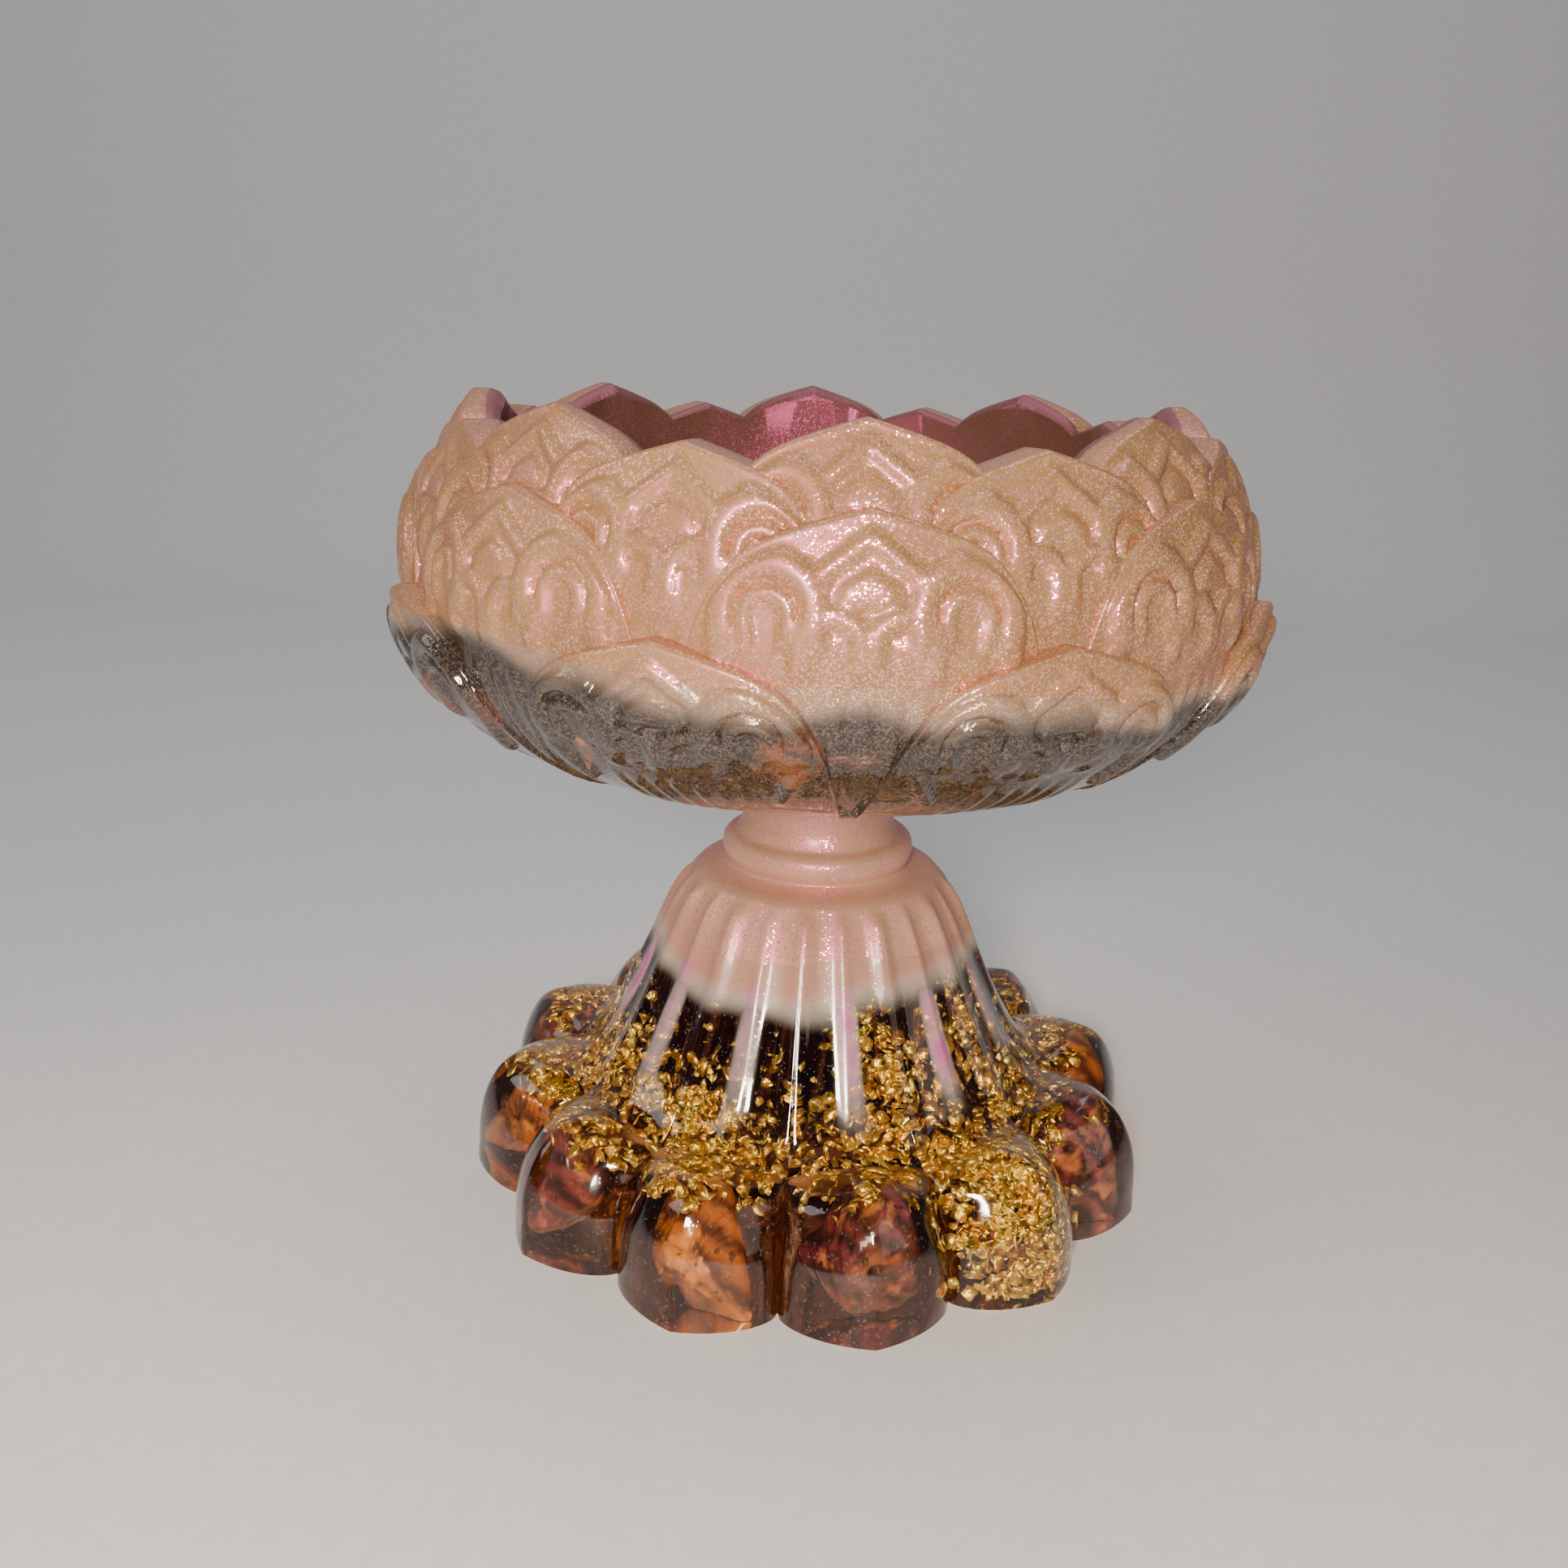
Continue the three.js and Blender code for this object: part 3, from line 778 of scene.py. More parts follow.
@dataclass(frozen=True)
class AirBubble:
    """A bubble of air in cured resin: a bright point in a dark ring, as light bends out of the resin."""

    name: str = "air_bubble_in_epoxy"
    resin_ior: float = 1.5

    def material(self) -> bpy.types.Material:
        """Build the material.

        Returns:
            The material.
        """
        material, tree = new_material(self.name)
        glass = {"Base Color": (1, 1, 1, 1), "Roughness": 0.0, "Transmission Weight": 1.0,
                 "IOR": 1 / self.resin_ior}
        shader = add(tree, "ShaderNodeBsdfPrincipled", glass)
        path = add(tree, "ShaderNodeLightPath")
        clear = add(tree, "ShaderNodeBsdfTransparent")
        both = add(tree, "ShaderNodeMixShader",
                   {0: path.outputs["Is Shadow Ray"], 1: shader.outputs[0], 2: clear.outputs[0]})
        add(tree, "ShaderNodeOutputMaterial", {"Surface": both.outputs[0]})
        return material


@dataclass(frozen=True)
class CuredGlue:
    """Cured clear epoxy glue: a milky, slightly uneven bead."""

    name: str = "cured_epoxy_glue"
    body: str = "C9AE98"
    shade: str = "A98D78"

    def material(self) -> bpy.types.Material:
        """Build the material.

        Returns:
            The material.
        """
        material, tree = new_material(self.name)
        where = add(tree, "ShaderNodeTexCoord").outputs["Object"]
        cloud_noise = add(tree, "ShaderNodeTexNoise", {"Vector": where, "Scale": per_mm(1.5)}).outputs[0]
        cloud = add(tree, "ShaderNodeMapRange", {0: cloud_noise, 1: 0.3, 2: 0.7}, **EASED).outputs[0]
        colour = add(tree, "ShaderNodeMix",
                     {0: cloud, 6: linear(self.shade), 7: linear(self.body)}, **COLOURS).outputs[2]
        inputs = {"Base Color": colour, "Roughness": 0.25, "IOR": 1.5, "Coat Weight": 0.5}
        shader = add(tree, "ShaderNodeBsdfPrincipled", inputs)
        add(tree, "ShaderNodeOutputMaterial", {"Surface": shader.outputs[0]})
        return material


@dataclass(frozen=True)
class StudioPaper:
    """Matt background paper: pale and even, with a faint tooth."""

    name: str = "matt_background_paper"
    pale: str = "E6E7E9"
    grey: str = "E2E3E5"

    def material(self) -> bpy.types.Material:
        """Build the material.

        Returns:
            The material.
        """
        material, tree = new_material(self.name)
        where = add(tree, "ShaderNodeTexCoord").outputs["Object"]
        cloud_noise = add(tree, "ShaderNodeTexNoise", {"Vector": where, "Scale": per_mm(2.0)}).outputs[0]
        cloud = add(tree, "ShaderNodeMapRange", {0: cloud_noise, 1: 0.3, 2: 0.7}, **EASED).outputs[0]
        colour = add(tree, "ShaderNodeMix",
                     {0: cloud, 6: linear(self.grey), 7: linear(self.pale)}, **COLOURS).outputs[2]
        shader = add(tree, "ShaderNodeBsdfPrincipled", {"Base Color": colour, "Roughness": 0.6})
        add(tree, "ShaderNodeOutputMaterial", {"Surface": shader.outputs[0]})
        return material


# ---- Petal relief ---------------------------------------------------------------------------------------


@dataclass(frozen=True)
class PetalRelief:
    """The scrolls moulded on each petal, in millimetres: x across the petal, q down from its tip."""

    height: float = 0.85

    @staticmethod
    def dome(distance: np.ndarray, half_width: float) -> np.ndarray:
        """A rounded ridge: 1 on its line and 0 at its edge."""
        return np.sqrt(np.clip(1 - (distance / half_width) ** 2, 0, 1))

    def stroke(self, x: np.ndarray, q: np.ndarray, start: tuple, end: tuple, half_width: float) -> np.ndarray:
        """A straight ridge between two points.

        Args:
            x: Places across the petal.
            q: Places down from its tip.
            start: First point (x, q).
            end: Last point (x, q).
            half_width: Half the width of the ridge.

        Returns:
            Height of the ridge, from 0 to 1.
        """
        (x0, q0), (x1, q1) = start, end
        length = (x1 - x0) ** 2 + (q1 - q0) ** 2
        share = np.clip(((x - x0) * (x1 - x0) + (q - q0) * (q1 - q0)) / length, 0, 1)
        away = np.hypot(x - x0 - share * (x1 - x0), q - q0 - share * (q1 - q0))
        return self.dome(away, half_width)

    def arch(self, x: np.ndarray, q: np.ndarray, middle: tuple, radius: float, half_width: float,
             legs: float) -> np.ndarray:
        """A round arch whose two legs run down and fade out.

        Args:
            x: Places across the petal.
            q: Places down from its tip.
            middle: Middle of the round part (x, q).
            radius: Radius of the line.
            half_width: Half the width of the ridge.
            legs: How far down the legs run.

        Returns:
            Height of the ridge, from 0 to 1.
        """
        across, down = x - middle[0], q - middle[1]
        ring = np.hypot(across, np.where(down > 0, down * 0.28, down)) - radius
        return self.dome(ring, half_width) * (1 - smooth(down, 0.3 * legs, legs))

    def __call__(self, x: np.ndarray, q: np.ndarray) -> np.ndarray:
        """Height of the relief above the petal's face.

        Args:
            x: Places across the petal.
            q: Places down from its tip.

        Returns:
            Heights in millimetres.
        """
        side = np.abs(x)
        marks = [
            self.arch(side, q, (8.5, 8.5), 3.95, 1.2, 5.5) ** 0.6,
            0.7 * self.arch(side, q, (8.5, 9.0), 1.9, 0.72, 4.0) ** 0.8,
            0.7 * self.stroke(side, q, (0.0, 2.3), (3.9, 5.3), 0.8) ** 0.8,
            0.55 * self.stroke(side, q, (3.9, 5.3), (4.0, 7.4), 0.6) ** 0.8,
            0.85 * self.arch(side, q, (3.1, 11.5), 2.6, 0.95, 3.6) ** 0.6,
            0.35 * self.arch(side, q, (3.1, 12.0), 0.0, 1.5, 2.6),
            0.8 * self.stroke(side, q, (12.8, 12.5), (10.8, 18.0), 0.9),
        ]
        roof = np.clip(1.3 * (2.7 - side) + 0.2, 0, 1) * np.clip(1.3 * (q - 4.6 - 0.6 * side), 0, 1)
        marks.append(0.55 * roof * (1 - smooth(q, 7.6, 8.6)))
        fan = 0.5 + 0.5 * np.cos(side * 2.6)
        marks.append(0.35 * fan * smooth(q, 15.5, 17.5) * (1 - smooth(side, 6.5, 8.0)))
        return self.height * np.max(marks, axis=0)


# ---- The bowl -------------------------------------------------------------------------------------------


@dataclass(frozen=True)
class Tier:
    """One tier of petals: its tips below the highest tip, its depth behind the outermost line, its turn."""

    drop: float
    depth: float
    odd: bool
    start: float


@dataclass
class LotusBowl:
    """The petalled bowl: four overlapping tiers, cut out by a cup, cast in pearl and clear resin."""

    base: float
    petals: int = 8
    turn: float = math.radians(4.1)
    disc_radius: float = 25.5
    radius: float = 49.2
    height: float = 39.8
    belly_height: float = 20.8
    rim_inset: float = 5.8
    petal_half_width: float = 18.0
    petal_curl: float = 0.8
    side_fall: float = 3.9
    corner_fall: float = 5.0
    relief_radius: float = 46.0
    edge_round: float = 0.6
    skin: float = 0.72
    cup_rim_radius: float = 36.0
    cup_belly_radius: float = 37.0
    cup_floor_radius: float = 24.0
    cup_floor: float = 7.0
    pour_height: float = 17.8
    pour_tilt: float = 0.06
    pour_wave: float = 0.8
    columns: int = 96
    row_pitch: float = 0.36
    relief: PetalRelief = field(default_factory=PetalRelief)
    tiers: tuple[Tier, ...] = (
        Tier(0.0, 3.5, False, 22.0),
        Tier(2.4, 2.8, True, 13.0),
        Tier(7.0, 1.5, False, 1.75),
        Tier(18.4, 0.0, True, 0.0),
    )

    def line(self, above: np.ndarray) -> np.ndarray:
        """Radius of the outermost line, at a height above the underside.

        Args:
            above: Heights above the underside.

        Returns:
            Radii.
        """
        rise = np.clip(above / self.belly_height, 0, 1)
        belly = mix(self.disc_radius, self.radius, (1 - (1 - rise) ** 2.2) ** 0.6)
        over = np.clip((above - self.belly_height) / (self.height - self.belly_height), 0, None)
        return belly - self.rim_inset * over**2

    def tier_sector(self, tier: Tier) -> bpy.types.Object:
        """One petal of a tier, as a sector from the axis out to its face.

        Args:
            tier: The tier.

        Returns:
            The sector, open on its two sides.
        """
        share = np.linspace(-1, 1, self.columns + 1)
        share = np.sign(share) * (1 - (1 - np.abs(share)) ** 1.25)
        offset = share * math.pi / self.petals
        across = np.abs(np.degrees(offset)) / self.petal_half_width
        edge = np.maximum(4.0, self.height - tier.drop - self.side_fall * across**1.05
                          - self.corner_fall * across**6)

        heights = np.linspace(0, self.height, 800)
        radii = self.line(heights)
        run = np.concatenate([[0], np.cumsum(np.hypot(np.diff(heights), np.diff(radii)))])
        slope_out = np.gradient(radii, run)
        slope_up = np.gradient(heights, run)
        first = np.interp(tier.start, heights, run)
        tip_run = np.interp(self.height - tier.drop, heights, run)
        face_rows = int((tip_run - first) / self.row_pitch)

        grid_radius, grid_height = [], []
        top_run = np.interp(edge - self.edge_round, heights, run)
        for i in range(face_rows + 1):
            s = mix(first, top_run, i / face_rows)
            above = np.interp(s, run, heights)
            spread = mix(0.5, 1.0, smooth(above, 0, self.belly_height))
            q = tip_run - s
            x = offset * self.relief_radius
            border = smooth(edge - above, 0.9, 1.7) * (1 - smooth(across, 0.92, 0.99))
            raised = self.relief(x, q) * border * smooth(above, 0.5, 4.0)
            push = raised - self.skin
            radius = np.interp(s, run, radii) - spread * (tier.depth + self.petal_curl * across**2)
            grid_radius.append(radius + push * np.interp(s, run, slope_up))
            grid_height.append(above - push * np.interp(s, run, slope_out) * smooth(edge - above, 0, 3))
        rim_radius, rim_height = grid_radius[-1], grid_height[-1]
        for i in range(1, 6):
            t = i / 5 * math.pi / 2
            grid_radius.append(rim_radius - self.edge_round * (1 - math.cos(t)))
            grid_height.append(rim_height + self.edge_round * math.sin(t))
        crest = grid_height[-1]
        for radius, sink in ((39.0, 0.0), (37.4, 0.05), (36.6, 0.35), (36.0, 1.1), (30.0, 1.3)):
            grid_radius.append(np.minimum(radius, grid_radius[-1] - 0.1))
            grid_height.append(crest - sink)
        floor_row = np.full_like(offset, tier.start)
        grid_radius = [np.zeros_like(offset), *grid_radius, np.zeros_like(offset)]
        middle = np.full_like(offset, np.mean(crest) - 1.3)
        grid_height = [floor_row, *grid_height, middle]
        points = polar(np.array(grid_radius), offset[None, :], np.array(grid_height) + self.base)
        return lathe("petal_sector", points, closed=False)

    def tier_ring(self, tier: Tier, tree: bpy.types.NodeTree, finish: bpy.types.Material) -> bpy.types.Object:
        """All the petals of a tier as one closed solid.

        Args:
            tier: The tier.
            tree: The ring tree.
            finish: The material.

        Returns:
            The ring of petals, closed.
        """
        turn = self.turn + (math.pi / self.petals if tier.odd else 0.0)
        values = {"Repeats": self.petals, "Turn": turn, "Finish": finish}
        return run_nodes(self.tier_sector(tier), tree, values, "petal_tier")

    def cup(self) -> bpy.types.Object:
        """The space inside the bowl.

        Returns:
            A closed solid that reaches above the rim.
        """
        floor, rim = self.cup_floor, self.height
        stations = [
            (0.0, floor), (self.cup_floor_radius - 1.5, floor), (self.cup_floor_radius, floor + 0.15),
            (26.2, floor + 0.7), (28.7, floor + 2.0), (31.2, floor + 4.1), (33.1, floor + 7.0),
            (34.9, floor + 11.0), (36.1, floor + 15.0), (self.cup_belly_radius, rim - 12),
            (self.cup_belly_radius - 0.1, rim - 7), (self.cup_rim_radius, rim - 2),
            (self.cup_rim_radius, rim + 2), (0.0, rim + 2),
        ]
        columns = 240
        angles = np.arange(columns) / columns * math.tau
        grid = [polar(np.full(columns, r), angles, np.full(columns, z + self.base)) for r, z in stations]
        return lathe("cup", np.array(grid), closed=True)


def pour_cutter(level: float, tilt: float, wave: float, reach: float = 66.0) -> bpy.types.Object:
    """Everything below a casting's gently waved pour line.

    Args:
        level: Height of the line on the axis.
        tilt: Rise for each millimetre towards -X.
        wave: Height of the waves at the outside.
        reach: Radius of the solid.

    Returns:
        A closed solid that reaches well below the casting.
    """
    columns = 160
    angles = np.arange(columns) / columns * math.tau
    grid = [polar(np.zeros(columns), angles, np.full(columns, -reach))]
    grid.append(polar(np.full(columns, reach), angles, np.full(columns, -reach)))
    for radius in reach * np.array([1, 0.85, 0.75, 0.65, 0.5, 0.25]):
        swell = np.sin(3 * angles + 0.6) + 0.5 * np.sin(7 * angles)
        height = level - tilt * radius * np.sin(angles) + wave * swell * (radius / reach) ** 0.5
        grid.append(polar(np.full(columns, radius), angles, height))
    grid.append(polar(np.zeros(columns), angles, np.full(columns, level)))
    return lathe("pour_cutter", np.array(grid), closed=True)


OVERLAP = 0.05  # millimetres that the pearl pour reaches into the clear one, so that no film of air shows


def part_pours(casting: bpy.types.Object, level: float, tilt: float, wave: float, name: str
               ) -> tuple[bpy.types.Object, bpy.types.Object]:
    """Part a casting into its pearl pour and its clear pour.

    Args:
        casting: The whole casting.
        level: Height of the pour line on the axis.
        tilt: Rise for each millimetre towards -X.
        wave: Height of the waves.
        name: First part of the names.

    Returns:
        The pearl pour and the clear pour.
    """
    low = pour_cutter(level - OVERLAP, tilt, wave)
    high = pour_cutter(level, tilt, wave)
    pearl = carved(casting, [(Cut.REMOVE, low)], f"{name}_pearl")
    clear = carved(casting, [(Cut.KEEP, high)], f"{name}_clear")
    discard(low, high)
    return pearl, clear


def hand_cast(piece: bpy.types.Object, amount: float) -> None:
    """Push a cast surface in and out very slightly, as a hand-poured silicone mould leaves it.

    Args:
        piece: The casting.
        amount: Height of the swell.
    """
    mesh = piece.data
    flat = np.empty(len(mesh.vertices) * 3, np.float32)
    mesh.vertices.foreach_get("co", flat)
    points = flat.reshape(-1, 3) / MM
    x, y, z = points.T
    swell = np.sin(0.31 * x + 0.23 * z) * np.cos(0.27 * y - 0.19 * z) + 0.5 * np.sin(0.71 * y + 0.52 * x)
    reach = np.hypot(x, y)
    keep = smooth(reach, 4.0, 12.0) * smooth(z, 0.0, 3.0)
    points[:, :2] *= (1 + amount * (swell - 1.5) * keep / np.maximum(reach, 1))[:, None]
    mesh.vertices.foreach_set("co", (points * MM).astype(np.float32).ravel())
    mesh.update()


def smooth_shaded(piece: bpy.types.Object, crease_degrees: float) -> None:
    """Shade a mesh smooth, with its creases left sharp.

    Args:
        piece: The mesh object.
        crease_degrees: Edges that turn more than this stay sharp.
    """
    mesh = piece.data
    mesh.polygons.foreach_set("use_smooth", np.ones(len(mesh.polygons), bool))
    mesh.set_sharp_from_angle(angle=math.radians(crease_degrees))


# ---- The foot -------------------------------------------------------------------------------------------


@dataclass
class LotusFoot:
    """The fluted foot: twelve keeled lobes that run up into a ribbed bell and a short neck."""

    lobes: int = 12
    turn: float = math.radians(10.85)
    tip_radius: float = 41.2
    crease_depth: float = 5.9
    height: float = 51.7
    lobe_height: float = 14.2
    lobe_length: float = 12.2
    bell_top_radius: float = 14.6
    neck_length: float = 14.3
    neck_radius: float = 9.0
    rib_height: float = 0.9
    pour_drop: float = 5.4
    pour_wave: float = 0.8
    columns: int = 48

    @property
    def bell_top(self) -> float:
        """Height where the bell meets the neck."""
        return self.height - self.neck_length

    def bell_line(self, outer: float, crest_drop: float, below_crest: float) -> np.ndarray:
        """Stations (radius, height) up a lobe and the bell.

        Args:
            outer: Radius at the floor.
            crest_drop: How far the crest lies below the full lobe height.
            below_crest: How far the waist lies below that of the ridge.

        Returns:
            Stations, one row each.
        """
        lobe, top = self.lobe_height, (self.bell_top_radius, self.bell_top)
        waist = (self.tip_radius - self.lobe_length, lobe - 0.6 - below_crest)
        crest = lobe - crest_drop
        stations = [
            (outer, 0.0),
            (outer, crest * 0.34),
            (outer - 0.8, crest * 0.63),
            (outer - 2.8, crest * 0.88),
            (mix(outer, waist[0], 0.46), lobe - crest_drop * 0.8),
            (mix(outer, waist[0], 0.75), lobe - crest_drop * 0.5),
            waist,
        ]
        for out, up in ((0.18, 0.07), (0.35, 0.22), (0.52, 0.42), (0.68, 0.63), (0.84, 0.84), (1, 1)):
            stations.append((mix(waist[0], top[0], out), mix(waist[1], top[1], up)))
        return np.array(stations)

    @staticmethod
    def curve(stations: np.ndarray, shares: np.ndarray) -> np.ndarray:
        """Points of the smooth curve through evenly spaced stations (Catmull-Rom).

        Args:
            stations: Points that the curve passes through.
            shares: Places along the curve, from 0 to 1.

        Returns:
            Points on the curve.
        """
        last = len(stations) - 1
        place = np.clip(shares * last, 0, last - 1e-9)
        i = place.astype(int)
        t = (place - i)[:, None]
        p0 = stations[np.maximum(i - 1, 0)]
        p1, p2 = stations[i], stations[i + 1]
        p3 = stations[np.minimum(i + 2, last)]
        return 0.5 * (2 * p1 + (p2 - p0) * t + (2 * p0 - 5 * p1 + 4 * p2 - p3) * t**2
                      + (3 * p1 - p0 - 3 * p2 + p3) * t**3)

    def lobe_sector(self) -> bpy.types.Object:
        """One lobe with its flute and its part of the neck, as a sector from the axis out.

        Returns:
            The sector, open on its two sides.
        """
        share = np.linspace(-1, 1, self.columns + 1)
        share = np.sign(share) * (1 - (1 - np.abs(share)) ** 1.35)
        offset = share * math.pi / self.lobes
        side = np.abs(share)
        bulge = 0.6 * np.sqrt(1 - side**2) + 0.4 * (1 - side)
        along = np.linspace(0, 1, 118)
        ridge = self.curve(self.bell_line(self.tip_radius, 0, 0), along)
        crease = self.curve(self.bell_line(self.tip_radius - self.crease_depth, 5, 1.2), along)
        on_bell = smooth(along, 0.46, 0.66) * (1 - smooth(along, 0.95, 1))
        rib = np.exp(-(((1 - side) / 0.26) ** 2)) + 0.5 * np.exp(-((side / 0.17) ** 2))
        radius = mix(crease[:, :1], ridge[:, :1], bulge) + self.rib_height * on_bell[:, None] * rib
        height = mix(crease[:, 1:], ridge[:, 1:], bulge)
        neck = self.neck_profile()
        still = np.ones_like(offset)
        radius = np.vstack([0 * still, radius, neck[:, :1] * still, 0 * still])
        height = np.vstack([0 * still, height, neck[:, 1:] * still, self.height * still])
        return lathe("lobe_sector", polar(radius, offset[None, :], height), closed=False)

    def neck_profile(self) -> np.ndarray:
        """Stations (radius, height) up the neck, from the bell's shoulder to the top pad.

        Returns:
            Points up the smoothed profile.
        """
        top, r = self.bell_top, self.neck_radius
        stations = [(13.6, top + 0.5), (11.9, top + 0.9), (11.15, top + 1.4), (11.4, top + 2.1),
                    (11.5, top + 3.0), (11.3, top + 3.9), (10.7, top + 4.5), (9.9, top + 4.8),
                    (9.55, top + 5.3), (r + 0.2, top + 6.1), (r, top + 7.0)]
        stations += [(r, top + 8.5), (r + 0.05, top + 10.0), (r + 0.3, self.height - 3.2),
                     (r + 0.9, self.height - 2.3), (r + 1.45, self.height - 1.7),
                     (r + 1.6, self.height - 1.1), (r + 1.6, self.height - 0.3), (r + 1.4, self.height)]
        fine = np.linspace(0, 1, 52)
        return self.curve(np.array(stations), fine)

    def casting(self, tree: bpy.types.NodeTree, finish: bpy.types.Material) -> bpy.types.Object:
        """The whole foot as one closed solid."""
        values = {"Repeats": self.lobes, "Turn": self.turn, "Finish": finish}
        return run_nodes(self.lobe_sector(), tree, values, "foot_casting")


# ---- Stones ---------------------------------------------------------------------------------------------


def stone_in(node: str, seed: int, fill: float, rise: float, finish: bpy.types.Material
             ) -> bpy.types.Object:
    """Make a tumbled chip that fills the box of its CAD node.

    Args:
        node: The CAD node.
        seed: Seed of the chip's facets.
        fill: Width of the chip as a share of the box.
        rise: Height of the chip as a share of the box.
        finish: The stone's material.

    Returns:
        The chip, a rounded polyhedron with a slightly pitted skin.
    """
    low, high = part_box(node)
    middle = np.array((low + high) / 2) / MM
    half = np.array((high - low) / 2) / MM * np.array([fill, fill, rise])
    helper = bpy.data.meshes.new("ball")
    ball = bmesh.new()
    bmesh.ops.create_icosphere(ball, subdivisions=5, radius=1.0)
    ball.to_mesh(helper)
    ball.free()
    flat = np.empty(len(helper.vertices) * 3, np.float32)
    helper.vertices.foreach_get("co", flat)
    ways = flat.reshape(-1, 3).astype(float)
    random = np.random.default_rng(seed)
    normals = random.normal(size=(14, 3))
    normals /= np.linalg.norm(normals, axis=1, keepdims=True)
    distances = random.uniform(0.72, 1.0, 14)
    lean = np.clip(ways @ normals.T, 0, None) / distances
    reach = (np.sum(lean**9, axis=1)) ** (-1 / 9)
    reach /= reach.max()
    pits = 0.02 * np.sin(ways @ (random.normal(size=3) * 9))
    pits = pits + 0.012 * np.sin(ways @ (random.normal(size=3) * 23))
    points = middle + ways * (reach * (0.97 + pits))[:, None] * half
    helper.vertices.foreach_set("co", (points * MM).astype(np.float32).ravel())
    helper.update()
    helper.materials.append(finish)
    return bpy.data.objects.new(f"{node}_rough", helper)


def scatter(host: bpy.types.Object, tree: bpy.types.NodeTree, weights: np.ndarray, values: dict, name: str
            ) -> bpy.types.Object:
    """Set flakes or bubbles under a piece's surface, and drop any that would break through it.

    Args:
        host: The piece that holds them.
        tree: The scatter tree.
        weights: How densely they lie, at each of the host's vertices.
        values: The tree's inputs.
        name: Name of the result.

    Returns:
        All that is left of them, as one object.
    """
    carrier = bpy.data.objects.new(name, host.data.copy())
    attribute = carrier.data.attributes.new("scatter", "FLOAT", "POINT")
    attribute.data.foreach_set("value", weights.astype(np.float32))
    result = run_nodes(carrier, tree, values, name)
    each = {1: 12, 2: 42}[values["Rounds"]]  # vertices of one icosphere
    skin = BVHTree.FromPolygons([v.co for v in host.data.vertices], [p.vertices for p in host.data.polygons])
    work = bmesh.new()
    work.from_mesh(result.data)
    work.verts.ensure_lookup_table()
    lost: list[bmesh.types.BMVert] = []
    for first in range(0, len(work.verts), each):
        ball = work.verts[first : first + each]
        if any(breaks_through(skin, vertex.co) for vertex in ball):
            lost.extend(ball)
    bmesh.ops.delete(work, geom=lost, context="VERTS")
    work.to_mesh(result.data)
    work.free()
    LOG.info("%s: %d dropped", name, len(lost) // each)
    return result


def breaks_through(skin: BVHTree, point: Vector) -> bool:
    """Whether a point is outside a closed surface, or less than 0.05 mm inside it."""
    near, normal, _, distance = skin.find_nearest(point)
    return distance < 0.05 * MM or (point - near).dot(normal) > 0


def vertices_mm(piece: bpy.types.Object) -> np.ndarray:
    """A piece's vertices in millimetres.

    Args:
        piece: The mesh object.

    Returns:
        Points, one row each.
    """
    flat = np.empty(len(piece.data.vertices) * 3, np.float32)
    piece.data.vertices.foreach_get("co", flat)
    return flat.reshape(-1, 3).astype(float) / MM


# ---- Sub-assemblies -------------------------------------------------------------------------------------


@dataclass
class Workshop:
    """The node trees that the sub-assemblies share."""

    rings: bpy.types.NodeTree = field(default_factory=ring_tree)
    scatters: bpy.types.NodeTree = field(default_factory=scatter_tree)


def place(piece: bpy.types.Object, slot: str | None, *nodes: str) -> None:
    """Put a finished piece in the scene, on the object's body.

    Args:
        piece: The piece.
        slot: The record's material slot, or None for a material that the record has no slot for. Not used.
        nodes: CAD nodes that the piece stands for.
    """
    if not piece.users_collection:
        bpy.context.scene.collection.objects.link(piece)
    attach(piece, ROOT)
    if nodes:
        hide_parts(*nodes)
    LOG.info("%s: %d faces", piece.name, len(piece.data.polygons))


def dress(piece: bpy.types.Object, finish: bpy.types.Material, crease: float) -> None:
    """Give a casting its only material and its shading.

    Args:
        piece: The casting.
        finish: Its material.
        crease: Angle in degrees past which an edge stays sharp.
    """
    piece.data.materials.clear()
    piece.data.materials.append(finish)
    piece.data.polygons.foreach_set("material_index", np.zeros(len(piece.data.polygons), np.int32))
    smooth_shaded(piece, crease)


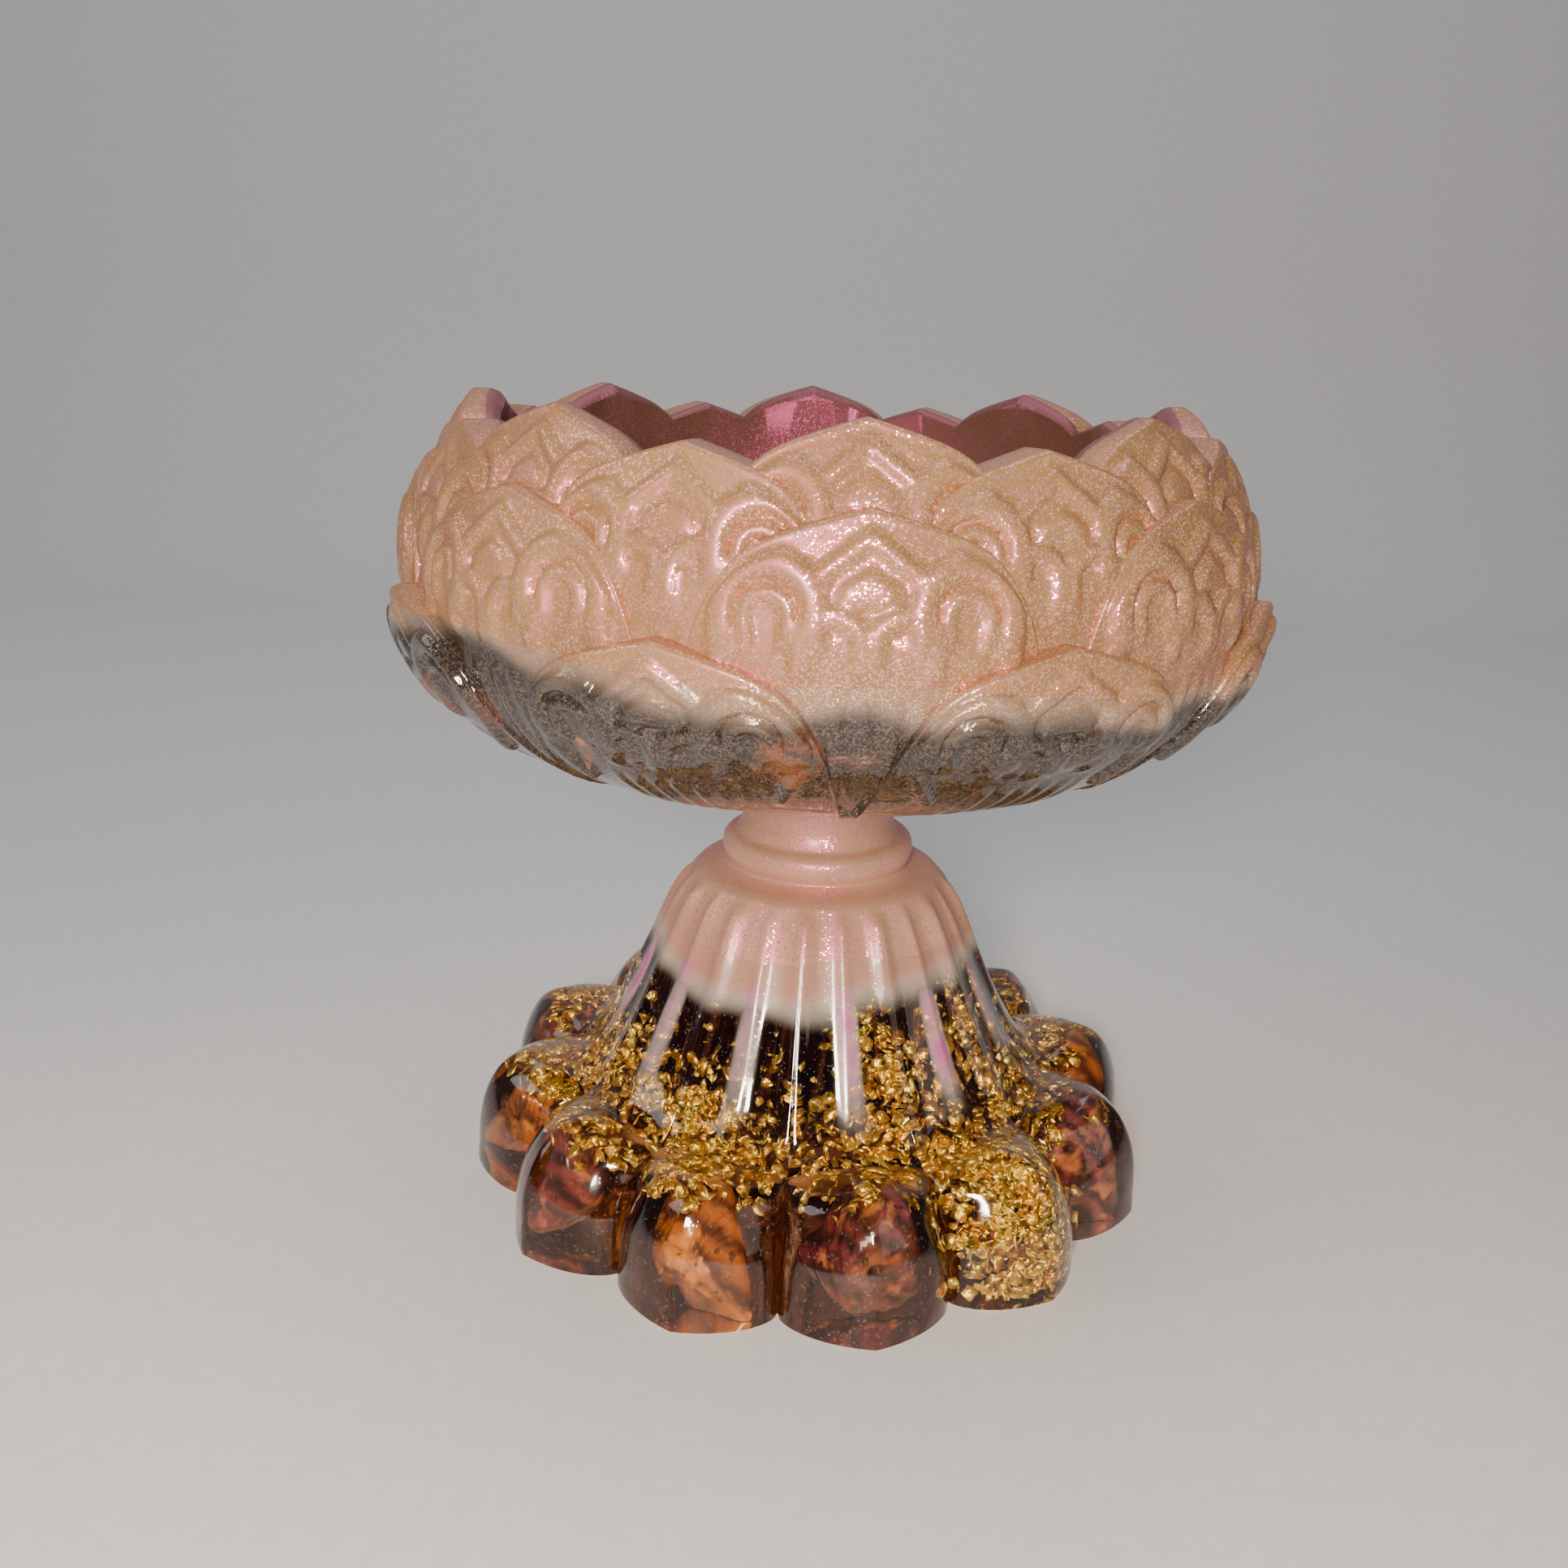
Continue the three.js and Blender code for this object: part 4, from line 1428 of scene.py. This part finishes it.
@dataclass
class BowlAssembly:
    """The bowl's two pours, with the air bubbles and the gold leaf in the clear one."""

    workshop: Workshop
    bubble_density: float = 1.1e6
    leaf_density: float = 3.0e4

    def casting(self, bowl: LotusBowl, finish: bpy.types.Material) -> bpy.types.Object:
        """Join the tiers of petals and cut out the cup.

        Args:
            bowl: The sizes and shape.
            finish: The material.

        Returns:
            One closed solid.
        """
        tiers = [bowl.tier_ring(tier, self.workshop.rings, finish) for tier in bowl.tiers]
        cup = bowl.cup()
        steps = [(Cut.JOIN, tier) for tier in tiers[:-1]] + [(Cut.REMOVE, cup)]
        whole = carved(tiers[-1], steps, "bowl_casting")
        discard(*tiers, cup)
        hand_cast(whole, 0.12)
        return whole

    def bubbles(self, clear: bpy.types.Object, base: float) -> bpy.types.Object:
        """Air bubbles just under the skin, thickest in the front hollow between two petals.

        Args:
            clear: The clear pour.
            base: Height of the bowl's underside.

        Returns:
            All the bubbles as one object.
        """
        points = vertices_mm(clear)
        azimuth = np.degrees(np.arctan2(points[:, 0], -points[:, 1]))
        outside = smooth(np.hypot(points[:, 0], points[:, 1]), 30.0, 36.0)
        low = smooth(points[:, 2], base + 2, base + 5) * (1 - smooth(points[:, 2], base + 11, base + 15))
        cluster = 0.12 + 0.88 * np.exp(-(((azimuth - 6) / 9) ** 2))
        return scatter(clear, self.workshop.scatters, outside * low * cluster, {
            "Density": self.bubble_density, "Depth Low": 0.6 * MM, "Depth High": 1.5 * MM,
            "Size Low": 0.16 * MM, "Size High": 0.48 * MM, "Flatness": 1.0, "Tip": 0.2, "Crumple": 0.0,
            "Seed": 11, "Rounds": 1, "Finish": AirBubble().material(),
        }, "bowl_air_bubbles")

    def leaf(self, clear: bpy.types.Object, base: float) -> bpy.types.Object:
        """A few small flakes of gold leaf low in the belly.

        Args:
            clear: The clear pour.
            base: Height of the bowl's underside.

        Returns:
            All the flakes as one object.
        """
        points = vertices_mm(clear)
        outside = smooth(np.hypot(points[:, 0], points[:, 1]), 26.0, 30.0)
        low = smooth(points[:, 2], base + 1, base + 3) * (1 - smooth(points[:, 2], base + 6, base + 11))
        return scatter(clear, self.workshop.scatters, outside * low, {
            "Density": self.leaf_density, "Depth Low": 0.8 * MM, "Depth High": 2.2 * MM,
            "Size Low": 0.4 * MM, "Size High": 1.3 * MM, "Flatness": 0.05, "Tip": 0.9,
            "Crumple": 1.0 * MM, "Seed": 12, "Rounds": 1,
            "Finish": GoldLeaf(name="gold_leaf_in_bowl").material(),
        }, "bowl_gold_leaf")

    def build(self) -> bpy.types.Object:
        """Make, part and dress the casting, and return its clear pour.

        Returns:
            The clear pour.
        """
        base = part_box("bowl_clear_pour")[0].z / MM
        bowl = LotusBowl(base=base)
        pearl_finish = PearlEpoxy().material()
        clear_finish = ClearEpoxy(
            name="cast_clear_epoxy_hazed", tint="A87C30", depth=230.0, clear="BCA896", haze_colour="987459",
            haze_top=base + 17.9, haze_bottom=base + 14.4, haze_low=0.05, tilt=bowl.pour_tilt,
            shadow="D8C2A0", mica=Mica(),
        ).material()
        whole = self.casting(bowl, pearl_finish)
        pearl, clear = part_pours(whole, base + bowl.pour_height, bowl.pour_tilt, bowl.pour_wave, "bowl")
        discard(whole)
        dress(pearl, pearl_finish, 50)
        dress(clear, clear_finish, 50)
        bubbles, leaf = self.bubbles(clear, base), self.leaf(clear, base)
        place(pearl, "pearl_resin", "bowl_pearl_pour")
        place(clear, "clear_resin", "bowl_clear_pour")
        place(bubbles, None)
        place(leaf, None)
        return clear


@dataclass
class FootAssembly:
    """The foot's two pours, with the gold leaf in the clear one."""

    workshop: Workshop
    leaf_lobe_azimuth: float = 40.85
    leaf_lobe_half_width: float = 13.0
    leaf_band_radius: float = 27.0
    leaf_density: float = 4.2e6
    bell_patches: tuple[tuple[float, float, float], ...] = (
        (14, 25, 3.0), (27, 21, 3.5), (56, 24, 3.5), (-30, 16, 2.5),
    )

    def leaf(self, clear: bpy.types.Object) -> bpy.types.Object:
        """Gold leaf: one lobe full of it, a broken band above the lobes, and a little on their crests.

        Args:
            clear: The clear pour.

        Returns:
            All the flakes as one object.
        """
        points = vertices_mm(clear)
        turn = np.arctan2(points[:, 0], -points[:, 1])
        radius, height = np.hypot(points[:, 0], points[:, 1]), points[:, 2]
        away = np.abs((np.degrees(turn) - self.leaf_lobe_azimuth + 180) % 360 - 180)
        full_lobe = np.exp(-((away / self.leaf_lobe_half_width) ** 4)) * smooth(radius, 26, 29)
        clumps = 0.5 + 0.5 * np.sin(turn * 5 + 1.0) * np.sin(turn * 3 - 0.7)
        band = np.exp(-(((radius - self.leaf_band_radius) / 3.4) ** 2)) * smooth(height, 9, 13)
        crests = np.exp(-(((radius - 33) / 3.0) ** 2)) * smooth(height, 11, 13)
        weights = full_lobe + 0.9 * band * (0.2 + 0.8 * clumps) + 0.6 * crests * clumps
        for azimuth, up, spread in self.bell_patches:
            aside = np.degrees(turn) - azimuth
            along = aside * radius / 57.3  # degrees to millimetres round the bell
            weights = weights + 0.8 * np.exp(-((along / spread) ** 2) - ((height - up) / spread) ** 2)
        weights = np.clip(weights, 0, 1)
        weights *= smooth(height, 0.8, 1.6) * (height < 29)
        return scatter(clear, self.workshop.scatters, weights, {
            "Density": self.leaf_density, "Depth Low": 0.35 * MM, "Depth High": 2.4 * MM,
            "Size Low": 0.3 * MM, "Size High": 1.15 * MM, "Flatness": 0.05, "Tip": 1.2,
            "Crumple": 1.6 * MM, "Seed": 3, "Rounds": 1,
            "Finish": GoldLeaf(name="gold_leaf_in_foot").material(),
        }, "foot_gold_leaf")

    def build(self) -> bpy.types.Object:
        """Make, part and dress the casting, and return its clear pour.

        Returns:
            The clear pour.
        """
        foot = LotusFoot()
        pearl_finish = PearlEpoxy(name="cast_pearl_epoxy_rose", body="C29A7C", shade="B48C70",
                                  inside_radius=0.0, mica=Mica(share=0.22)).material()
        clear_finish = ClearEpoxy(
            name="cast_amber_epoxy", tint="CC8C2C", depth=62.0, clear="FFF6E2", haze_colour="B5826E",
            haze_top=foot.bell_top - foot.pour_drop - 1.2, haze_bottom=foot.bell_top - foot.pour_drop - 6,
            haze_low=0.0, tilt=0.0, shadow="FFF2D8", mica=Mica(share=0.03, tip=0.08), speck_low=0.1,
            streak_count=foot.lobes, streak_turn=foot.turn,
        ).material()
        whole = foot.casting(self.workshop.rings, pearl_finish)
        hand_cast(whole, 0.1)
        pearl, clear = part_pours(whole, foot.bell_top - foot.pour_drop, 0.0, foot.pour_wave, "foot")
        discard(whole)
        dress(pearl, pearl_finish, 50)
        dress(clear, clear_finish, 50)
        leaf = self.leaf(clear)
        place(pearl, "pearl_resin", "foot_pearl_pour")
        place(clear, "clear_resin", "foot_clear_pour")
        place(leaf, None)
        return clear


@dataclass
class StoneChips:
    """The tumbled chips cast into the foot's lobes and the bowl's belly, ground flush with the resin."""

    foot_resin: bpy.types.Object
    bowl_resin: bpy.types.Object
    skin: float = 0.12
    foot_fill: float = 1.65
    foot_rise: float = 2.1
    bowl_fill: float = 1.45
    leafed_chip: str = "foot_amber_chip_2"

    def build(self) -> None:
        """Replace each chip with a tumbled one."""
        amber = TumbledStone("tumbled_amber", dark="4E260C", mid="9C5C1A", light="CC8838").material()
        amethyst = TumbledStone("tumbled_amethyst", dark="2C1018", mid="6A3038", light="B4704A").material()
        foot_core, bowl_core = core_of(self.foot_resin, self.skin), core_of(self.bowl_resin, self.skin)
        for i, node in enumerate(sorted(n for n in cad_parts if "chip" in n)):
            is_amber = "amber" in node
            in_foot = node.startswith("foot")
            fill = self.foot_fill if in_foot else self.bowl_fill
            rise = self.foot_rise if in_foot else self.bowl_fill
            if node == self.leafed_chip:
                fill = rise = 1.0
            finish = amber if is_amber else amethyst
            rough = stone_in(node, 100 + i, fill, rise, finish)
            core = foot_core if in_foot else bowl_core
            stone = carved(rough, [(Cut.KEEP, core)], f"{node}_stone")
            discard(rough)
            dress(stone, finish, 60)
            place(stone, "amber_stone" if is_amber else "amethyst_stone", node)
        discard(foot_core, bowl_core)


@dataclass
class GlueBead:
    """The bead of cured glue between the neck and the bowl, crept a little into the corner."""

    columns: int = 160

    def build(self) -> None:
        """Replace the bond film."""
        corner_low, corner_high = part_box("bond_film")
        low, high, radius = corner_low.z / MM, corner_high.z / MM, corner_high.x / MM
        profile = [(0, low), (radius - 0.4, low), (radius, low + 0.1), (radius - 0.1, (low + high) / 2),
                   (radius + 0.25, high), (radius - 0.2, high + OVERLAP), (0, high + OVERLAP)]
        angles = np.arange(self.columns) / self.columns * math.tau
        creep = 1 + 0.012 * np.sin(5 * angles + 1) + 0.008 * np.sin(11 * angles)
        grid = np.array([polar(r * creep, angles, np.full(self.columns, z)) for r, z in profile])
        bead = lathe("bond_bead", grid, closed=True)
        dress(bead, CuredGlue().material(), 60)
        place(bead, "bond_resin", "bond_film")


# ---- Studio ---------------------------------------------------------------------------------------------


@dataclass(frozen=True)
class Studio:
    """Pale paper under and behind the object, soft lights, and the camera."""

    camera_distance: float = 0.1644
    camera_height: float = 0.09825
    camera_side: float = -0.00094
    pitch: float = 0.30
    yaw: float = -0.02
    roll: float = 0.03
    sensor_width: float = 36.0
    lens: float = 33.26

    def paper(self) -> None:
        """Lay the paper, which curves up a long way behind the object."""
        width, front, back, sweep = 1.6, -0.9, 0.36, 0.12
        profile = [(front, 0.0), (back, 0.0)]
        bends = np.linspace(0.1, 1.5, 12)
        profile += [(back + sweep * math.sin(t), sweep * (1 - math.cos(t))) for t in bends]
        profile.append((back + sweep, 1.6))
        points = [(x, y, z - 0.0002) for y, z in profile for x in (-width, width)]
        faces = [(2 * i, 2 * i + 1, 2 * i + 3, 2 * i + 2) for i in range(len(profile) - 1)]
        mesh = bpy.data.meshes.new("paper_sweep")
        mesh.from_pydata(points, [], faces)
        mesh.materials.append(StudioPaper().material())
        mesh.polygons.foreach_set("use_smooth", np.ones(len(faces), bool))
        sheet = bpy.data.objects.new("paper_sweep", mesh)
        bpy.context.scene.collection.objects.link(sheet)

    def light(self, name: str, at: tuple, size: float, watts: float, colour: str) -> None:
        """Hang a square soft light that faces the bowl.

        Args:
            name: Name of the light.
            at: Its place in metres.
            size: Width in metres.
            watts: Power.
            colour: Hex colour.
        """
        data = bpy.data.lights.new(name, "AREA")
        data.size, data.energy, data.color = size, watts, linear(colour)[:3]
        lamp = bpy.data.objects.new(name, data)
        lamp.location = at
        lamp.rotation_euler = (Vector((0, 0, 0.055)) - Vector(at)).to_track_quat("-Z", "Y").to_euler()
        bpy.context.scene.collection.objects.link(lamp)

    def camera(self) -> None:
        """Set the camera at its place, with its pitch, yaw and roll."""
        data = bpy.data.cameras.new("camera")
        data.sensor_width, data.lens, data.clip_start = self.sensor_width, self.lens, 0.01
        eye = bpy.data.objects.new("camera", data)
        ahead = Vector((math.sin(self.yaw), math.cos(self.yaw), 0))
        side = Vector((math.cos(self.yaw), -math.sin(self.yaw), 0))
        over = math.sin(self.pitch) * ahead + math.cos(self.pitch) * Vector((0, 0, 1))
        forward = math.cos(self.pitch) * ahead - math.sin(self.pitch) * Vector((0, 0, 1))
        right = math.cos(self.roll) * side + math.sin(self.roll) * over
        up = -math.sin(self.roll) * side + math.cos(self.roll) * over
        turn = Matrix((right, up, -forward)).transposed()
        place_at = Vector((self.camera_side, -self.camera_distance, self.camera_height))
        eye.matrix_world = Matrix.Translation(place_at) @ turn.to_4x4()
        bpy.context.scene.collection.objects.link(eye)
        bpy.context.scene.camera = eye

    def build(self) -> None:
        """Set up the whole studio."""
        self.camera()
        self.paper()
        self.light("key_softbox", (-0.03, -0.24, 0.13), 0.04, 0.88, "FFF1E2")
        self.light("left_window", (-0.6, -0.1, 0.4), 0.3, 0.85, "FFF8F4")
        self.light("right_fill", (0.6, -0.3, 0.3), 0.4, 0.55, "FFF0E4")
        self.light("top_sheet", (0.0, 0.2, 0.7), 0.5, 1.35, "FFFFFF")
        world = bpy.data.worlds.new("studio_air")
        world.use_nodes = True
        world.node_tree.nodes["Background"].inputs["Color"].default_value = linear("B4B6BA")
        world.node_tree.nodes["Background"].inputs["Strength"].default_value = 0.17
        bpy.context.scene.world = world


def main() -> None:
    """Build the object and its studio."""
    logging.basicConfig(level=logging.INFO, format="%(name)s %(message)s")
    workshop = Workshop()
    foot_resin = FootAssembly(workshop).build()
    GlueBead().build()
    bowl_resin = BowlAssembly(workshop).build()
    StoneChips(foot_resin, bowl_resin).build()
    Studio().build()


if __name__ == "__main__":
    main()
